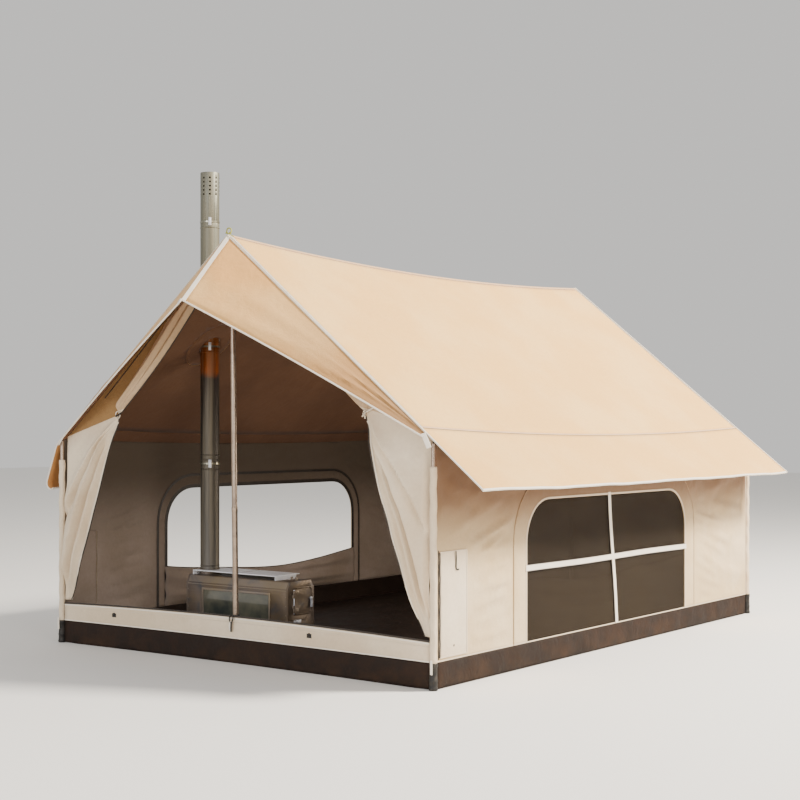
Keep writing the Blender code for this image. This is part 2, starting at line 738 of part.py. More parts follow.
def build_door(side, word, tie_reach):
    """One door, drawn back to a tie on its free edge, from which it hangs down in folds."""
    y = FRONT + LEAF_INSET
    outer = WIDTH / 2 - SLEEVE_RADIUS - GAP - CANVAS / 2
    top_gap = SHELL_RISE + LEAF_TOP_GAP
    apex_reach = POLE_RADIUS + CANVAS
    apex = roof_height(apex_reach, y) - top_gap
    eave = roof_height(outer, y) - top_gap
    foot = SILL_HEIGHT + SILL_RISE + CANVAS / 2 + GAP
    pinch = LEAF_FOLD_DEPTH * LEAF_FOLDS / 2
    fold_reach = mix(tie_reach, LEAF_FOOT_REACH, LEAF_FLARE_SHARE)
    fold_height = mix(TIE_HEIGHT, foot, LEAF_DROP_SHARE)
    fixed = (
        (0, Vector((apex_reach, y, apex))),
        (LEAF_TIE_SHARE, Vector((outer, y, eave))),
        (1, Vector((outer, y, foot))),
    )
    free = (
        (0, Vector((apex_reach, y, apex - pinch))),
        (LEAF_TIE_SHARE, Vector((tie_reach, y, TIE_HEIGHT))),
        (LEAF_FOLD_SHARE, Vector((fold_reach, y, fold_height))),
        (1, Vector((LEAF_FOOT_REACH, y, foot))),
    )

    def leaf_point(u, v):
        point = leaf_edge(fixed, v).lerp(leaf_edge(free, v), u)
        hang = smooth((v - LEAF_TIE_SHARE) / (1 - LEAF_TIE_SHARE) * LEAF_HANG_RATE)
        width = (leaf_edge(fixed, v) - leaf_edge(free, v)).length
        depth = min(LEAF_FOLD_DEPTH, width / LEAF_FOLDS / 2) * hang * smooth(u * LEAF_HEM_RATE)
        point.y -= depth * (1 - math.cos(2 * math.pi * LEAF_FOLDS * u)) / 2
        return side * point.x, point.y, point.z

    sheet(f"door_leaf_{word}", LEAF_COLUMNS, LEAF_ROWS, leaf_point, WALL_CANVAS)
    toggle_y = y - CANVAS / 2 - GAP - TOGGLE_RADIUS
    middle = tie_reach + TOGGLE_LENGTH / 2
    low = (side * (middle - TOGGLE_LENGTH / 2), toggle_y, TIE_HEIGHT)
    high = (side * (middle + TOGGLE_LENGTH / 2), toggle_y, TIE_HEIGHT)
    keep(f"door_tie_{word}", rod(low, high, TOGGLE_RADIUS, SMALL_SIDES), BLACK_WEBBING)


def build_window_cloths():
    """The right window's mesh and bars, and the dropped inner cover of each window."""
    middle = WIDTH / 2 - CANVAS / 2
    outline = window_outline(GAP, TUB_HEIGHT + GAP)
    mesh = prism(outline, MESH_THICKNESS, facing_x(middle))
    keep("window_mesh_right", mesh, MESH_FABRIC)
    half = BAR_WIDTH / 2
    low = WINDOW_MIDDLE - WINDOW_WIDTH / 2 - BAR_OVERLAP
    high = WINDOW_MIDDLE + WINDOW_WIDTH / 2 + BAR_OVERLAP
    top, bottom = WINDOW_TOP + BAR_OVERLAP, TUB_HEIGHT + GAP
    under, over = BAR_HEIGHT - half, BAR_HEIGHT + half

    def upright(z):
        return WINDOW_MIDDLE + BAR_LEAN * mix(1, -1, (z - bottom) / (top - bottom))

    cross = [(upright(z) + half, z) for z in (bottom, under)]
    cross += [(high, under), (high, over)]
    cross += [(upright(z) + half, z) for z in (over, top)]
    cross += [(upright(z) - half, z) for z in (top, over)]
    cross += [(low, over), (low, under)]
    cross += [(upright(z) - half, z) for z in (under, bottom)]
    outside = WIDTH / 2 + GAP + CANVAS / 2
    keep("window_bars_right", prism(cross, CANVAS, facing_x(outside)), WALL_CANVAS)
    for side, word, top in ((1, "right", RIGHT_COVER_TOP), (-1, "left", LEFT_COVER_TOP)):

        def cover_point(u, v):
            reach = WINDOW_WIDTH / 2 + COVER_OVERLAP
            y = mix(WINDOW_MIDDLE - reach, WINDOW_MIDDLE + reach, u)
            edge = top - COVER_TOP_SAG * (1 - (2 * u - 1) ** 2)
            z = mix(TUB_HEIGHT + COVER_LIFT, edge, v)
            ends = smooth(COVER_END_RATE * u) * smooth(COVER_END_RATE * (1 - u))
            slack = COVER_BULGE * math.sin(math.pi * v * COVER_BELLY_SHARE) * ends
            wave = (1 - math.cos(2 * math.pi * (COVER_WAVES * v + u))) / 2
            ripple = COVER_RIPPLE * smooth(COVER_FOOT_RATE * v) * wave
            inner = WIDTH / 2 - CANVAS - GAP - CANVAS / 2
            return side * (inner - slack - ripple), y, z

        sheet(f"window_cover_{word}", COVER_COLUMNS, COVER_ROWS, cover_point, WALL_CANVAS)


def stove_section(inset):
    """Outline (y, z) of the stove across its length, with its sloping shoulders."""
    low, high = STOVE_FRONT_Y + inset, STOVE_REAR_Y - inset
    bottom, top = STOVE_BOTTOM + inset, STOVE_TOP - inset
    shoulder = STOVE_TOP - HEADER_HEIGHT - inset / 2
    return [
        (low, bottom),
        (high, bottom),
        (high, shoulder),
        (high - HEADER_SLOPE, top),
        (low + HEADER_SLOPE, top),
        (low, shoulder),
    ]


def build_stove_body():
    middle = (STOVE_LEFT + STOVE_RIGHT) / 2
    body = keep("stove_body", prism(stove_section(0), STOVE_LENGTH, facing_x(middle)), STOVE_STEEL)
    hollow = prism(stove_section(STOVE_WALL), STOVE_LENGTH - 2 * STOVE_WALL, facing_x(middle))
    door = prism(door_outline(DOOR_OVERLAP), STOVE_WALL + OVERRUN, facing_x(STOVE_RIGHT))
    glass = prism(glass_outline(GLASS_LAP), STOVE_WALL + OVERRUN, facing_y(STOVE_FRONT_Y))
    low, high = (FLUE_X, FLUE_Y, STOVE_TOP - OVERRUN), (FLUE_X, FLUE_Y, STOVE_TOP + OVERRUN)
    flue = rod(low, high, FLUE_RADIUS - FLUE_WALL, FLUE_SIDES)
    for name, mesh in (("firebox", hollow), ("door_way", door), ("glass_way", glass), ("flue_way", flue)):
        combine(body, cutter(name, mesh))
    for index, height in enumerate(lug_heights()):
        lug = cutter(f"hinge_lug_{index}", lug_box(height))
        combine(body, lug, "UNION")
    x, y = hinge_place()
    bore = rod((x, y, STOVE_BOTTOM), (x, y, STOVE_TOP), PIN_RADIUS + PIN_CLEARANCE, SMALL_SIDES)
    for index, height in enumerate(guide_heights()):
        low = (STOVE_RIGHT - STOVE_WALL / 2, slide_front() - SLIDE_HEIGHT / 2, height)
        high = (STOVE_RIGHT + GUIDE_THICKNESS, slide_end() + SLIDE_HEIGHT / 2, height + GUIDE_HEIGHT)
        combine(body, cutter(f"slide_guide_{index}", box(low, high)), "UNION")
    combine(body, cutter("hinge_bore", bore))
    pitch = SLIDE_LENGTH / AIR_HOLES
    for index in range(AIR_HOLES):
        y = slide_front() + pitch * (index + 1 / 2)
        z = STOVE_BOTTOM + SLIDE_BOTTOM_RAISE + SLIDE_HEIGHT / 2
        low, high = (STOVE_RIGHT - OVERRUN, y, z), (STOVE_RIGHT + OVERRUN, y, z)
        combine(body, cutter(f"air_hole_{index}", rod(low, high, AIR_HOLE_RADIUS, SMALL_SIDES)))


def door_outline(inset):
    low = (STOVE_FRONT_Y + DOOR_FRONT_INSET + inset, STOVE_BOTTOM + DOOR_BOTTOM_RAISE + inset)
    high = (low[0] + DOOR_WIDTH - 2 * inset, low[1] + DOOR_HEIGHT - 2 * inset)
    return rounded(low, high, DOOR_CORNER - inset / 2, DOOR_ARC_STEPS)


def glass_outline(inset):
    left = STOVE_LEFT + GLASS_LEFT_INSET + inset
    bottom = STOVE_BOTTOM + GLASS_BOTTOM_RAISE + inset
    right = left + GLASS_WIDTH - 2 * inset
    top = bottom + GLASS_HEIGHT - 2 * inset
    return [(left, bottom), (right, bottom), (right, top), (left, top)]


def hinge_place():
    return STOVE_RIGHT + HINGE_OFFSET, STOVE_FRONT_Y + DOOR_FRONT_INSET - HINGE_SETBACK


def knuckle_heights():
    bottom = STOVE_BOTTOM + DOOR_BOTTOM_RAISE
    return (
        bottom + KNUCKLE_END_INSET,
        bottom + DOOR_HEIGHT - KNUCKLE_END_INSET - KNUCKLE_LENGTH,
    )


def lug_heights():
    """The bottoms of the two lugs, which stand between the knuckles and next to them."""
    low, high = knuckle_heights()
    return low + KNUCKLE_LENGTH + GAP, high - GAP - LUG_HEIGHT


def lug_box(height):
    x, y = hinge_place()
    low = (STOVE_RIGHT - STOVE_WALL / 2, y - LUG_HALF_WIDTH, height)
    high = (x + LUG_HALF_WIDTH, y + LUG_HALF_WIDTH, height + LUG_HEIGHT)
    return box(low, high)


def build_stove_door():
    x, y = hinge_place()
    inner = STOVE_RIGHT + GAP
    middle = inner + DOOR_THICKNESS / 2
    bottom = STOVE_BOTTOM + DOOR_BOTTOM_RAISE
    door = keep(
        "stove_door",
        prism(door_outline(0), DOOR_THICKNESS, facing_x(middle)),
        STOVE_STEEL,
        (x, y, bottom),
    )
    for index, height in enumerate(knuckle_heights()):
        low, high = (x, y, height), (x, y, height + KNUCKLE_LENGTH)
        knuckle = rod(low, high, KNUCKLE_RADIUS, ROUND_SIDES)
        combine(door, cutter(f"knuckle_{index}", knuckle), "UNION")
        tab_low = (inner + GAP, y, height)
        reach = DOOR_CORNER + HINGE_SETBACK
        tab_high = (x - PIN_RADIUS - PIN_CLEARANCE, y + reach, height + KNUCKLE_LENGTH)
        combine(door, cutter(f"hinge_tab_{index}", box(tab_low, tab_high)), "UNION")
    bore = rod((x, y, STOVE_BOTTOM), (x, y, STOVE_TOP), PIN_RADIUS + PIN_CLEARANCE, SMALL_SIDES)
    combine(door, cutter("knuckle_bore", bore))
    latch_x, latch_y, latch_z = latch_place()
    hole = rod(
        (inner - OVERRUN, latch_y, latch_z),
        (latch_x, latch_y, latch_z),
        LATCH_SHAFT_RADIUS + PIN_CLEARANCE,
        SMALL_SIDES,
    )
    combine(door, cutter("latch_hole", hole))
    low, high = knuckle_heights()
    pin = rod(
        (x, y, low - PIN_OVERHANG),
        (x, y, high + KNUCKLE_LENGTH + PIN_OVERHANG),
        PIN_RADIUS,
        SMALL_SIDES,
    )
    keep("stove_hinge_pin", pin, BRIGHT_STEEL)


def latch_place():
    """The point on the latch's axis at the outer face of its handle."""
    inner = STOVE_RIGHT + GAP
    x = inner + DOOR_THICKNESS + GAP + LATCH_STANDOFF + LATCH_HANDLE_THICKNESS
    y = STOVE_FRONT_Y + DOOR_FRONT_INSET + DOOR_WIDTH - LATCH_EDGE_INSET
    return x, y, STOVE_BOTTOM + DOOR_BOTTOM_RAISE + LATCH_HEIGHT


def build_latch():
    x, y, z = latch_place()
    face = STOVE_RIGHT + GAP + DOOR_THICKNESS + GAP
    boss = rod((face, y, z), (x, y, z), LATCH_BOSS_RADIUS, ROUND_SIDES)
    latch = keep("stove_latch", boss, BRIGHT_STEEL, (x, y, z))
    shaft = rod((STOVE_RIGHT + GAP, y, z), (x - GAP, y, z), LATCH_SHAFT_RADIUS, SMALL_SIDES)
    half = LATCH_HANDLE_WIDTH / 2
    low = (x - LATCH_HANDLE_THICKNESS, y - half, z - LATCH_HANDLE_LENGTH)
    high = (x - GAP, y + half, z)
    combine(latch, cutter("latch_shaft", shaft), "UNION")
    combine(latch, cutter("latch_handle", box(low, high)), "UNION")


def slide_front():
    return STOVE_FRONT_Y + DOOR_FRONT_INSET


def slide_end():
    return slide_front() + SLIDE_LENGTH + SLIDE_TRAVEL


def guide_heights():
    bottom = STOVE_BOTTOM + SLIDE_BOTTOM_RAISE
    return bottom - GAP - GUIDE_HEIGHT, bottom + SLIDE_HEIGHT + GAP


def build_air_slide():
    bottom = STOVE_BOTTOM + SLIDE_BOTTOM_RAISE
    low = (STOVE_RIGHT + GAP, slide_front(), bottom)
    high = (STOVE_RIGHT + GAP + SLIDE_THICKNESS, slide_front() + SLIDE_LENGTH, bottom + SLIDE_HEIGHT)
    origin = [(start + end) / 2 for start, end in zip(low, high)]
    slide = keep("air_slide", box(low, high), BRIGHT_STEEL, origin)
    grip_y = slide_front() + SLIDE_LENGTH / 2
    middle = bottom + SLIDE_HEIGHT / 2
    inside, outside = STOVE_RIGHT + 2 * GAP, STOVE_RIGHT + GUIDE_THICKNESS * 2
    grip = rod((inside, grip_y, middle), (outside, grip_y, middle), SLIDE_HEIGHT / 4, SMALL_SIDES)
    combine(slide, cutter("slide_grip", grip), "UNION")


def build_stove_fittings():
    front = STOVE_FRONT_Y - GAP - GLASS_THICKNESS / 2
    glass = prism(glass_outline(0), GLASS_THICKNESS, facing_y(front))
    keep("stove_glass", glass, STOVE_GLASS)
    middle = STOVE_FRONT_Y - GAP - FRAME_THICKNESS / 2
    frame = prism(glass_outline(-FRAME_WIDTH), FRAME_THICKNESS, facing_y(middle))
    frame = keep("stove_glass_frame", frame, STOVE_STEEL)
    inner = prism(glass_outline(-GAP), FRAME_THICKNESS + OVERRUN, facing_y(middle))
    combine(frame, cutter("glass_rebate", inner))
    left, right = STOVE_LEFT + PLATE_LEFT_INSET, STOVE_RIGHT - PLATE_RIGHT_INSET
    back = STOVE_REAR_Y + PLATE_LIP
    front = STOVE_FRONT_Y + HEADER_SLOPE
    foot, top = STOVE_TOP + GAP, STOVE_TOP + GAP + PLATE_RAISE
    plate = box((left, front, top - PLATE_THICKNESS), (right, back, top))
    plate = keep("cook_plate", plate, BRIGHT_STEEL)
    rear = STOVE_REAR_Y - HEADER_SLOPE - GAP
    for index, start in enumerate((left, right - PLATE_THICKNESS)):
        low, high = (start, front + GAP, foot), (start + PLATE_THICKNESS, rear, top - GAP)
        combine(plate, cutter(f"plate_leg_{index}", box(low, high)), "UNION")
    reach = FLUE_RADIUS + COLLAR_WALL + 2 * GAP
    low, high = (FLUE_X, FLUE_Y, STOVE_TOP - OVERRUN), (FLUE_X, FLUE_Y, top + OVERRUN)
    combine(plate, cutter("plate_hole", rod(low, high, reach + GAP, FLUE_SIDES)))
    build_grate()
    build_legs()


def build_grate():
    edge = STOVE_WALL + GRATE_CLEARANCE
    left, right = STOVE_LEFT + edge, STOVE_RIGHT - edge
    front, back = STOVE_FRONT_Y + edge, STOVE_REAR_Y - edge
    foot = STOVE_BOTTOM + STOVE_WALL + GAP
    top = foot + GRATE_RAISE
    slab = box((left, front, top - GRATE_THICKNESS), (right, back, top))
    grate = keep("fire_grate", slab, STOVE_STEEL)
    for index, start in enumerate((left, right - GRATE_THICKNESS)):
        low, high = (start, front + GAP, foot), (start + GRATE_THICKNESS, back - GAP, top - GAP)
        combine(grate, cutter(f"grate_leg_{index}", box(low, high)), "UNION")
    pitch = (right - left) / (GRATE_SLOTS + 1)
    for index in range(GRATE_SLOTS):
        x = left + pitch * (index + 1)
        low = (x - GRATE_SLOT_WIDTH / 2, front + OVERRUN * 2, foot)
        high = (x + GRATE_SLOT_WIDTH / 2, back - OVERRUN * 2, top + OVERRUN)
        combine(grate, cutter(f"grate_slot_{index}", box(low, high)))


def build_legs():
    """Two bent rods that carry the stove, one near each end."""
    for word, x in (("left", STOVE_LEFT + LEG_INSET), ("right", STOVE_RIGHT - LEG_INSET)):
        foot = FLOOR_TOP + LEG_RADIUS
        front, back = STOVE_FRONT_Y + LEG_INSET / 2, STOVE_REAR_Y - LEG_INSET / 2
        curve = bpy.data.curves.new(f"stove_leg_{word}", "CURVE")
        curve.dimensions = "3D"
        curve.bevel_depth = LEG_RADIUS
        curve.bevel_resolution = 2
        curve.use_fill_caps = True
        spline = curve.splines.new("POLY")
        places = (
            (front, STOVE_BOTTOM - GAP),
            (front, (STOVE_BOTTOM + foot) / 2),
            (front - LEG_SPLAY, foot),
            (back + LEG_SPLAY, foot),
            (back, (STOVE_BOTTOM + foot) / 2),
            (back, STOVE_BOTTOM - GAP),
        )
        spline.points.add(len(places) - 1)
        for point, (y, z) in zip(spline.points, places):
            point.co = (x, y, z, 1)
        leg = bpy.data.objects.new(f"stove_leg_{word}", curve)
        curve.materials.append(STOVE_STEEL)
        PARTS.objects.link(leg)


def tube(name, low, high, radius, wall, finish):
    """A hollow upright tube on the flue's axis, turned from its section."""
    shape = bmesh.new()
    places = ((radius, high), (radius, low), (radius - wall, low), (radius - wall, high))
    corners = [shape.verts.new((reach, 0, z)) for reach, z in places]
    for start, end in zip(corners, corners[1:] + corners[:1]):
        shape.edges.new((start, end))
    mesh = mesh_from(shape)
    piece = keep(name, mesh, finish)
    piece.location = (FLUE_X, FLUE_Y, 0)
    turned = piece.modifiers.new("turned", "SCREW")
    turned.steps = FLUE_SIDES
    turned.render_steps = FLUE_SIDES
    turned.use_merge_vertices = True
    turned.merge_threshold = GAP / 10
    return piece


def build_flue():
    collar_low = STOVE_TOP + GAP
    collar_radius = FLUE_RADIUS + COLLAR_WALL + GAP
    tube("flue_collar", collar_low, collar_low + COLLAR_HEIGHT, collar_radius, COLLAR_WALL, STOVE_STEEL)
    bottoms = [STOVE_TOP] + FLUE_JOINTS
    tops = FLUE_JOINTS + [FLUE_TOP]
    names = ("flue_lower", "flue_middle", "flue_upper", "flue_cap")
    for name, low, high in zip(names, bottoms, tops):
        piece = tube(name, low + GAP, high, FLUE_RADIUS, FLUE_WALL, FLUE_STEEL)
    close_cap(piece)
    out = Vector((math.cos(CLIP_AZIMUTH), math.sin(CLIP_AZIMUTH), 0))
    side = Vector((-out.y, out.x, 0))
    for name, height in zip(("clip_lower", "clip_middle", "clip_upper"), FLUE_JOINTS):
        start = FLUE_RADIUS + GAP
        centre = Vector((FLUE_X, FLUE_Y, height)) + out * (start + CLIP_THICKNESS / 2)
        shape = bmesh.new()
        bmesh.ops.create_cube(shape, size=1)
        size = (CLIP_THICKNESS, CLIP_WIDTH, CLIP_LENGTH)
        bmesh.ops.scale(shape, vec=size, verts=shape.verts)
        turn = Matrix((out, side, (0, 0, 1))).transposed().to_4x4()
        place = Matrix.Translation(centre) @ turn
        bmesh.ops.transform(shape, matrix=place, verts=shape.verts)
        keep(name, mesh_from(shape), BRIGHT_STEEL)


def close_cap(cap):
    """The lid and the rows of spark holes at the top of the flue."""
    top = (FLUE_X, FLUE_Y, FLUE_TOP)
    low = (FLUE_X, FLUE_Y, FLUE_TOP - CAP_LID)
    lid = cutter("cap_lid", rod(low, top, FLUE_RADIUS - FLUE_WALL / 2, FLUE_SIDES))
    combine(cap, lid, "UNION")
    cutters = bmesh.new()
    for row in range(CAP_HOLE_ROWS):
        for column in range(CAP_HOLE_COLUMNS):
            z = FLUE_TOP - CAP_HOLE_TOP_INSET - CAP_HOLE_PITCH * row
            turn = CLIP_AZIMUTH + 2 * math.pi * column / CAP_HOLE_COLUMNS
            place = Matrix.Translation((FLUE_X, FLUE_Y, z))
            place @= Matrix.Rotation(turn, 4, "Z")
            place @= Matrix.Translation((FLUE_RADIUS, 0, 0))
            place @= Matrix.Rotation(math.pi / 2, 4, "Y")
            bmesh.ops.create_cone(
                cutters,
                cap_ends=True,
                segments=CAP_HOLE_SIDES,
                radius1=CAP_HOLE_RADIUS,
                radius2=CAP_HOLE_RADIUS,
                depth=OVERRUN,
                matrix=place,
            )
    combine(cap, cutter("spark_holes", mesh_from(cutters)))


def build_tent():
    build_roof()
    build_beak()
    build_side_walls()
    build_rear_wall()
    build_tub()
    build_corner_poles()
    build_upright_poles()
    build_small_straps()
    build_door(1, "right", WIDTH / 2 - RIGHT_TIE_INSET)
    build_door(-1, "left", WIDTH / 2 - LEFT_TIE_INSET)
    build_window_cloths()
    build_stove_body()
    build_stove_door()
    build_latch()
    build_air_slide()
    build_stove_fittings()
    build_flue()


build_tent()
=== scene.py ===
# %% [markdown]
# # A ridge tent with a wood stove, dressed for its picture
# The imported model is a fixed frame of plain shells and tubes. This file dresses it: every cloth gets its
# folds, hems and seams, every metal part its rolled edges, and every surface a finish built from nodes. The
# frame itself is never moved. Each new piece rides on one of the frame's bodies, and it hides the plain solid
# that it stands for.

# %% Load the frame
import math

import bmesh
import bpy
from mathutils import Matrix, Vector, noise


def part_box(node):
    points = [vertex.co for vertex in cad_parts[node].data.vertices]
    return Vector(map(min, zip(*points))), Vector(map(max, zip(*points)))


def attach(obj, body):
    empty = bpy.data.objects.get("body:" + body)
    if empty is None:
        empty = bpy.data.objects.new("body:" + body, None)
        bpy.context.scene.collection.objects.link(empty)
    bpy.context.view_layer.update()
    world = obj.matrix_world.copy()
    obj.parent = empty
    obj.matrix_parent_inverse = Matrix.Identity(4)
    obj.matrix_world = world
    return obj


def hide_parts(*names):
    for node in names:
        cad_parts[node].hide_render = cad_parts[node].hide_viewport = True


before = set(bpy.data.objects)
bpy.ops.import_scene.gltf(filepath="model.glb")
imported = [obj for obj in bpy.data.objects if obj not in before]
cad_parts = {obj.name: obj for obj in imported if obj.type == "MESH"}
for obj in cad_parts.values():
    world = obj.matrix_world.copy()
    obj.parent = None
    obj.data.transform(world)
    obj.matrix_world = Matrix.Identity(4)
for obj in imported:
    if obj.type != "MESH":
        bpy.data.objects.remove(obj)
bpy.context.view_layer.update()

# %% [markdown]
# ## Sizes
# The footprint and the places of the poles, pipes and panels are read from the frame, so that the dressing
# can't drift away from it. Slopes and sags are real sizes in metres. The canvas of the roof hangs between the
# two upright poles like a slack rope, so its sag is a parabola along the tent.

# %% Sizes of the tent


def middle_of(node):
    low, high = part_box(node)
    return (low + high) / 2


corner_pole = middle_of("corner_pole_front_right")
HALF_WIDTH, FRONT = corner_pole.x, corner_pole.y
REAR = -FRONT
LENGTH = REAR - FRONT
RIDGE_HEIGHT = 2.05
WALL_TOP = 1.0714
SLOPE = (RIDGE_HEIGHT - WALL_TOP) / HALF_WIDTH
SLOPE_ANGLE = math.atan(SLOPE)
EAVE_REACH = HALF_WIDTH - 0.07
RIDGE_SAG, EAVE_SAG, WING_SAG = 0.056, 0.038, 0.008
WING_LENGTH = 0.42
CANVAS = 0.0025
TUB_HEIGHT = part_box("tub_wall_right")[1].z
FLOOR_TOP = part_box("groundsheet")[1].z
print("half width", round(HALF_WIDTH, 3), "length", round(LENGTH, 3), "slope", round(SLOPE, 3))

# %% [markdown]
# ## Shapes in short functions
# A cloth starts as a flat bmesh grid, and each corner is then put where a function of (u, v) says. A tube, a
# hem or a strap is the same grid, wrapped round a path and merged along its seam. A wall with windows is a
# filled outline that planes slice into cells, so that it can bend like the rest. A boolean could cut the
# windows too, but it leaves long thin faces, which shade badly once they bend.

# %% Helpers for curves and folds


def mix(start, end, share):
    return start + (end - start) * share


def clamp(value):
    return min(max(value, 0.0), 1.0)


def smooth(share):
    share = clamp(share)
    return share * share * (3 - 2 * share)


def shares(count):
    """Even shares from 0 to 1, in count steps."""
    return [step / count for step in range(count + 1)]


def bump_line(a, b, fold):
    """Height at (a, b) of one fold, given as (start, end, width, depth). It fades at its ends."""
    (a0, b0), (a1, b1), width, depth = fold
    run_a, run_b = a1 - a0, b1 - b0
    share = ((a - a0) * run_a + (b - b0) * run_b) / (run_a * run_a + run_b * run_b)
    share = clamp(share)
    off = math.hypot(a - a0 - share * run_a, b - b0 - share * run_b)
    return depth * math.exp(-((off / width) ** 2)) * math.sin(math.pi * (0.08 + 0.84 * share))


def folds_at(a, b, folds):
    return sum(bump_line(a, b, fold) for fold in folds)


def rumple(a, b, size_a, size_b, depth, seed):
    """Slow, uneven swell of a hanging cloth."""
    return depth * noise.noise(Vector((a / size_a, b / size_b, seed)))


def catmull(points, steps):
    """A smooth curve through points."""
    points = [Vector(point) for point in points]
    ends = [2 * points[0] - points[1]] + points + [2 * points[-1] - points[-2]]
    made = []
    for p0, p1, p2, p3 in zip(ends, ends[1:], ends[2:], ends[3:]):
        for step in range(steps):
            t = step / steps
            curve = 2 * p1 + (p2 - p0) * t + (2 * p0 - 5 * p1 + 4 * p2 - p3) * t * t
            made.append((curve + (3 * p1 - p0 - 3 * p2 + p3) * t**3) / 2)
    return made + [points[-1]]


def spaced(points, gap):
    """The same line with points at an even spacing."""
    points = [Vector(point) for point in points]
    lengths = [0.0]
    for start, end in zip(points, points[1:]):
        lengths.append(lengths[-1] + (end - start).length)
    count = max(2, round(lengths[-1] / gap) + 1)
    made, index = [], 0
    for step in range(count):
        at = lengths[-1] * step / (count - 1)
        while index < len(points) - 2 and lengths[index + 1] < at:
            index += 1
        share = (at - lengths[index]) / max(lengths[index + 1] - lengths[index], 1e-9)
        made.append(points[index].lerp(points[index + 1], clamp(share)))
    return made


print("five even shares:", shares(4))

# %% [markdown]
# ## Meshes from grids
# `grid` is the one place where a sheet is made. Its UV map is in metres along the cloth, so a weave drawn on
# it has the same size everywhere. `sweep` wraps a grid round a path: the section can be round like a piping
# cord or flat like a tape, and its UV runs from 0 to 1 across and in metres along, which is what a row of
# stitches needs.

# %% A grid that becomes cloth
MERGE = 0.00002


def grid(across, along, place, size=(1.0, 1.0)):
    shape = bmesh.new()
    bmesh.ops.create_grid(shape, x_segments=across, y_segments=along, size=1)
    uv = shape.loops.layers.uv.verify()
    for face in shape.faces:
        for loop in face.loops:
            u, v = (loop.vert.co.x + 1) / 2, (loop.vert.co.y + 1) / 2
            loop[uv].uv = (u * size[0], v * size[1])
    for corner in shape.verts:
        corner.co = place((corner.co.x + 1) / 2, (corner.co.y + 1) / 2)
    return shape


def aim(shape, direction):
    """Turns an open sheet over if it faces away from a direction."""
    shape.normal_update()
    total = sum((face.normal * face.calc_area() for face in shape.faces), Vector())
    if total.dot(Vector(direction)) < 0:
        bmesh.ops.reverse_faces(shape, faces=shape.faces)
    return shape


# %% Sections and sweeps


def round_section(radius, sides=10):
    turns = [2 * math.pi * step / sides for step in range(sides)]
    return [(radius * math.cos(turn), radius * math.sin(turn)) for turn in turns]


def tape_section(width, height, edge_share=0.25):
    """A flat tape with rolled edges. It stands on the surface that it is sewn to."""
    half, edge = width / 2, min(height, width * edge_share)
    right = [(half, 0), (half, height / 2), (half - edge / 2, height)]
    left = [(-across, up) for across, up in reversed(right)]
    return right + left


def sweep(section, path, ups, closed=False):
    """A closed skin of one section along a path. ups is its up direction, once or for each point."""
    path = [Vector(point) for point in path]
    last, count = len(path) - 1, len(section)
    if not isinstance(ups, list):
        ups = [Vector(ups)] * len(path)
    lengths = [0.0]
    for start, end in zip(path, path[1:]):
        lengths.append(lengths[-1] + (end - start).length)
    frames = []
    for index, point in enumerate(path):
        before = path[index - 1] if index > 0 or closed else point
        after = path[(index + 1) % len(path)] if index < last or closed else point
        if closed and index in (0, last):
            before, after = path[-2], path[1]
        tangent = (after - before).normalized()
        side = tangent.cross(ups[index]).normalized()
        frames.append((point, side, side.cross(tangent)))

    def place(u, v):
        point, side, up = frames[round(v * last)]
        across, rise = section[round(u * count) % count]
        return point + side * across + up * rise

    shape = grid(count, last, place, (1.0, lengths[-1]))
    bmesh.ops.remove_doubles(shape, verts=shape.verts, dist=MERGE)
    if not closed:
        open_edges = [edge for edge in shape.edges if edge.is_boundary]
        bmesh.ops.holes_fill(shape, edges=open_edges, sides=0)
    bmesh.ops.recalc_face_normals(shape, faces=shape.faces)
    return shape


# %% Turned shapes and cut cloth


def turned(profile, sides, centre=(0, 0, 0)):
    """A shape turned from (radius, height) points. A profile that starts off the axis is closed to a ring."""
    shape = bmesh.new()
    corners = [shape.verts.new((radius, 0, height)) for radius, height in profile]
    pairs = list(zip(corners, corners[1:]))
    if profile[0][0] > 0:
        pairs.append((corners[-1], corners[0]))
    edges = [shape.edges.new(pair) for pair in pairs]
    bmesh.ops.spin(
        shape,
        geom=corners + edges,
        axis=(0, 0, 1),
        cent=(0, 0, 0),
        steps=sides,
        angle=2 * math.pi,
        use_merge=True,
    )
    bmesh.ops.remove_doubles(shape, verts=shape.verts, dist=MERGE)
    bmesh.ops.recalc_face_normals(shape, faces=shape.faces)
    bmesh.ops.translate(shape, vec=centre, verts=shape.verts)
    return shape


def cut_cloth(outer, holes, cell, place):
    """A flat outline with holes, sliced into cells and then put in place by a function of (a, b)."""
    shape = bmesh.new()
    edges = []
    for loop in [outer] + holes:
        corners = [shape.verts.new((a, b, 0)) for a, b in loop]
        edges += [shape.edges.new(pair) for pair in zip(corners, corners[1:] + corners[:1])]
    bmesh.ops.triangle_fill(shape, use_beauty=True, use_dissolve=False, edges=edges)
    for axis in (0, 1):
        low = min(point[axis] for point in outer)
        high = max(point[axis] for point in outer)
        count = max(1, round((high - low) / cell))
        for step in range(1, count):
            cut = Vector((0, 0, 0))
            cut[axis] = mix(low, high, step / count)
            way = Vector((0, 0, 0))
            way[axis] = 1
            everything = list(shape.verts) + list(shape.edges) + list(shape.faces)
            bmesh.ops.bisect_plane(shape, geom=everything, dist=MERGE, plane_co=cut, plane_no=way)
    uv = shape.loops.layers.uv.verify()
    for face in shape.faces:
        for loop in face.loops:
            loop[uv].uv = (loop.vert.co.x, loop.vert.co.y)
    for corner in shape.verts:
        corner.co = place(corner.co.x, corner.co.y)
    return shape


print("corners of a tape's section:", len(tape_section(0.020, 0.002)))

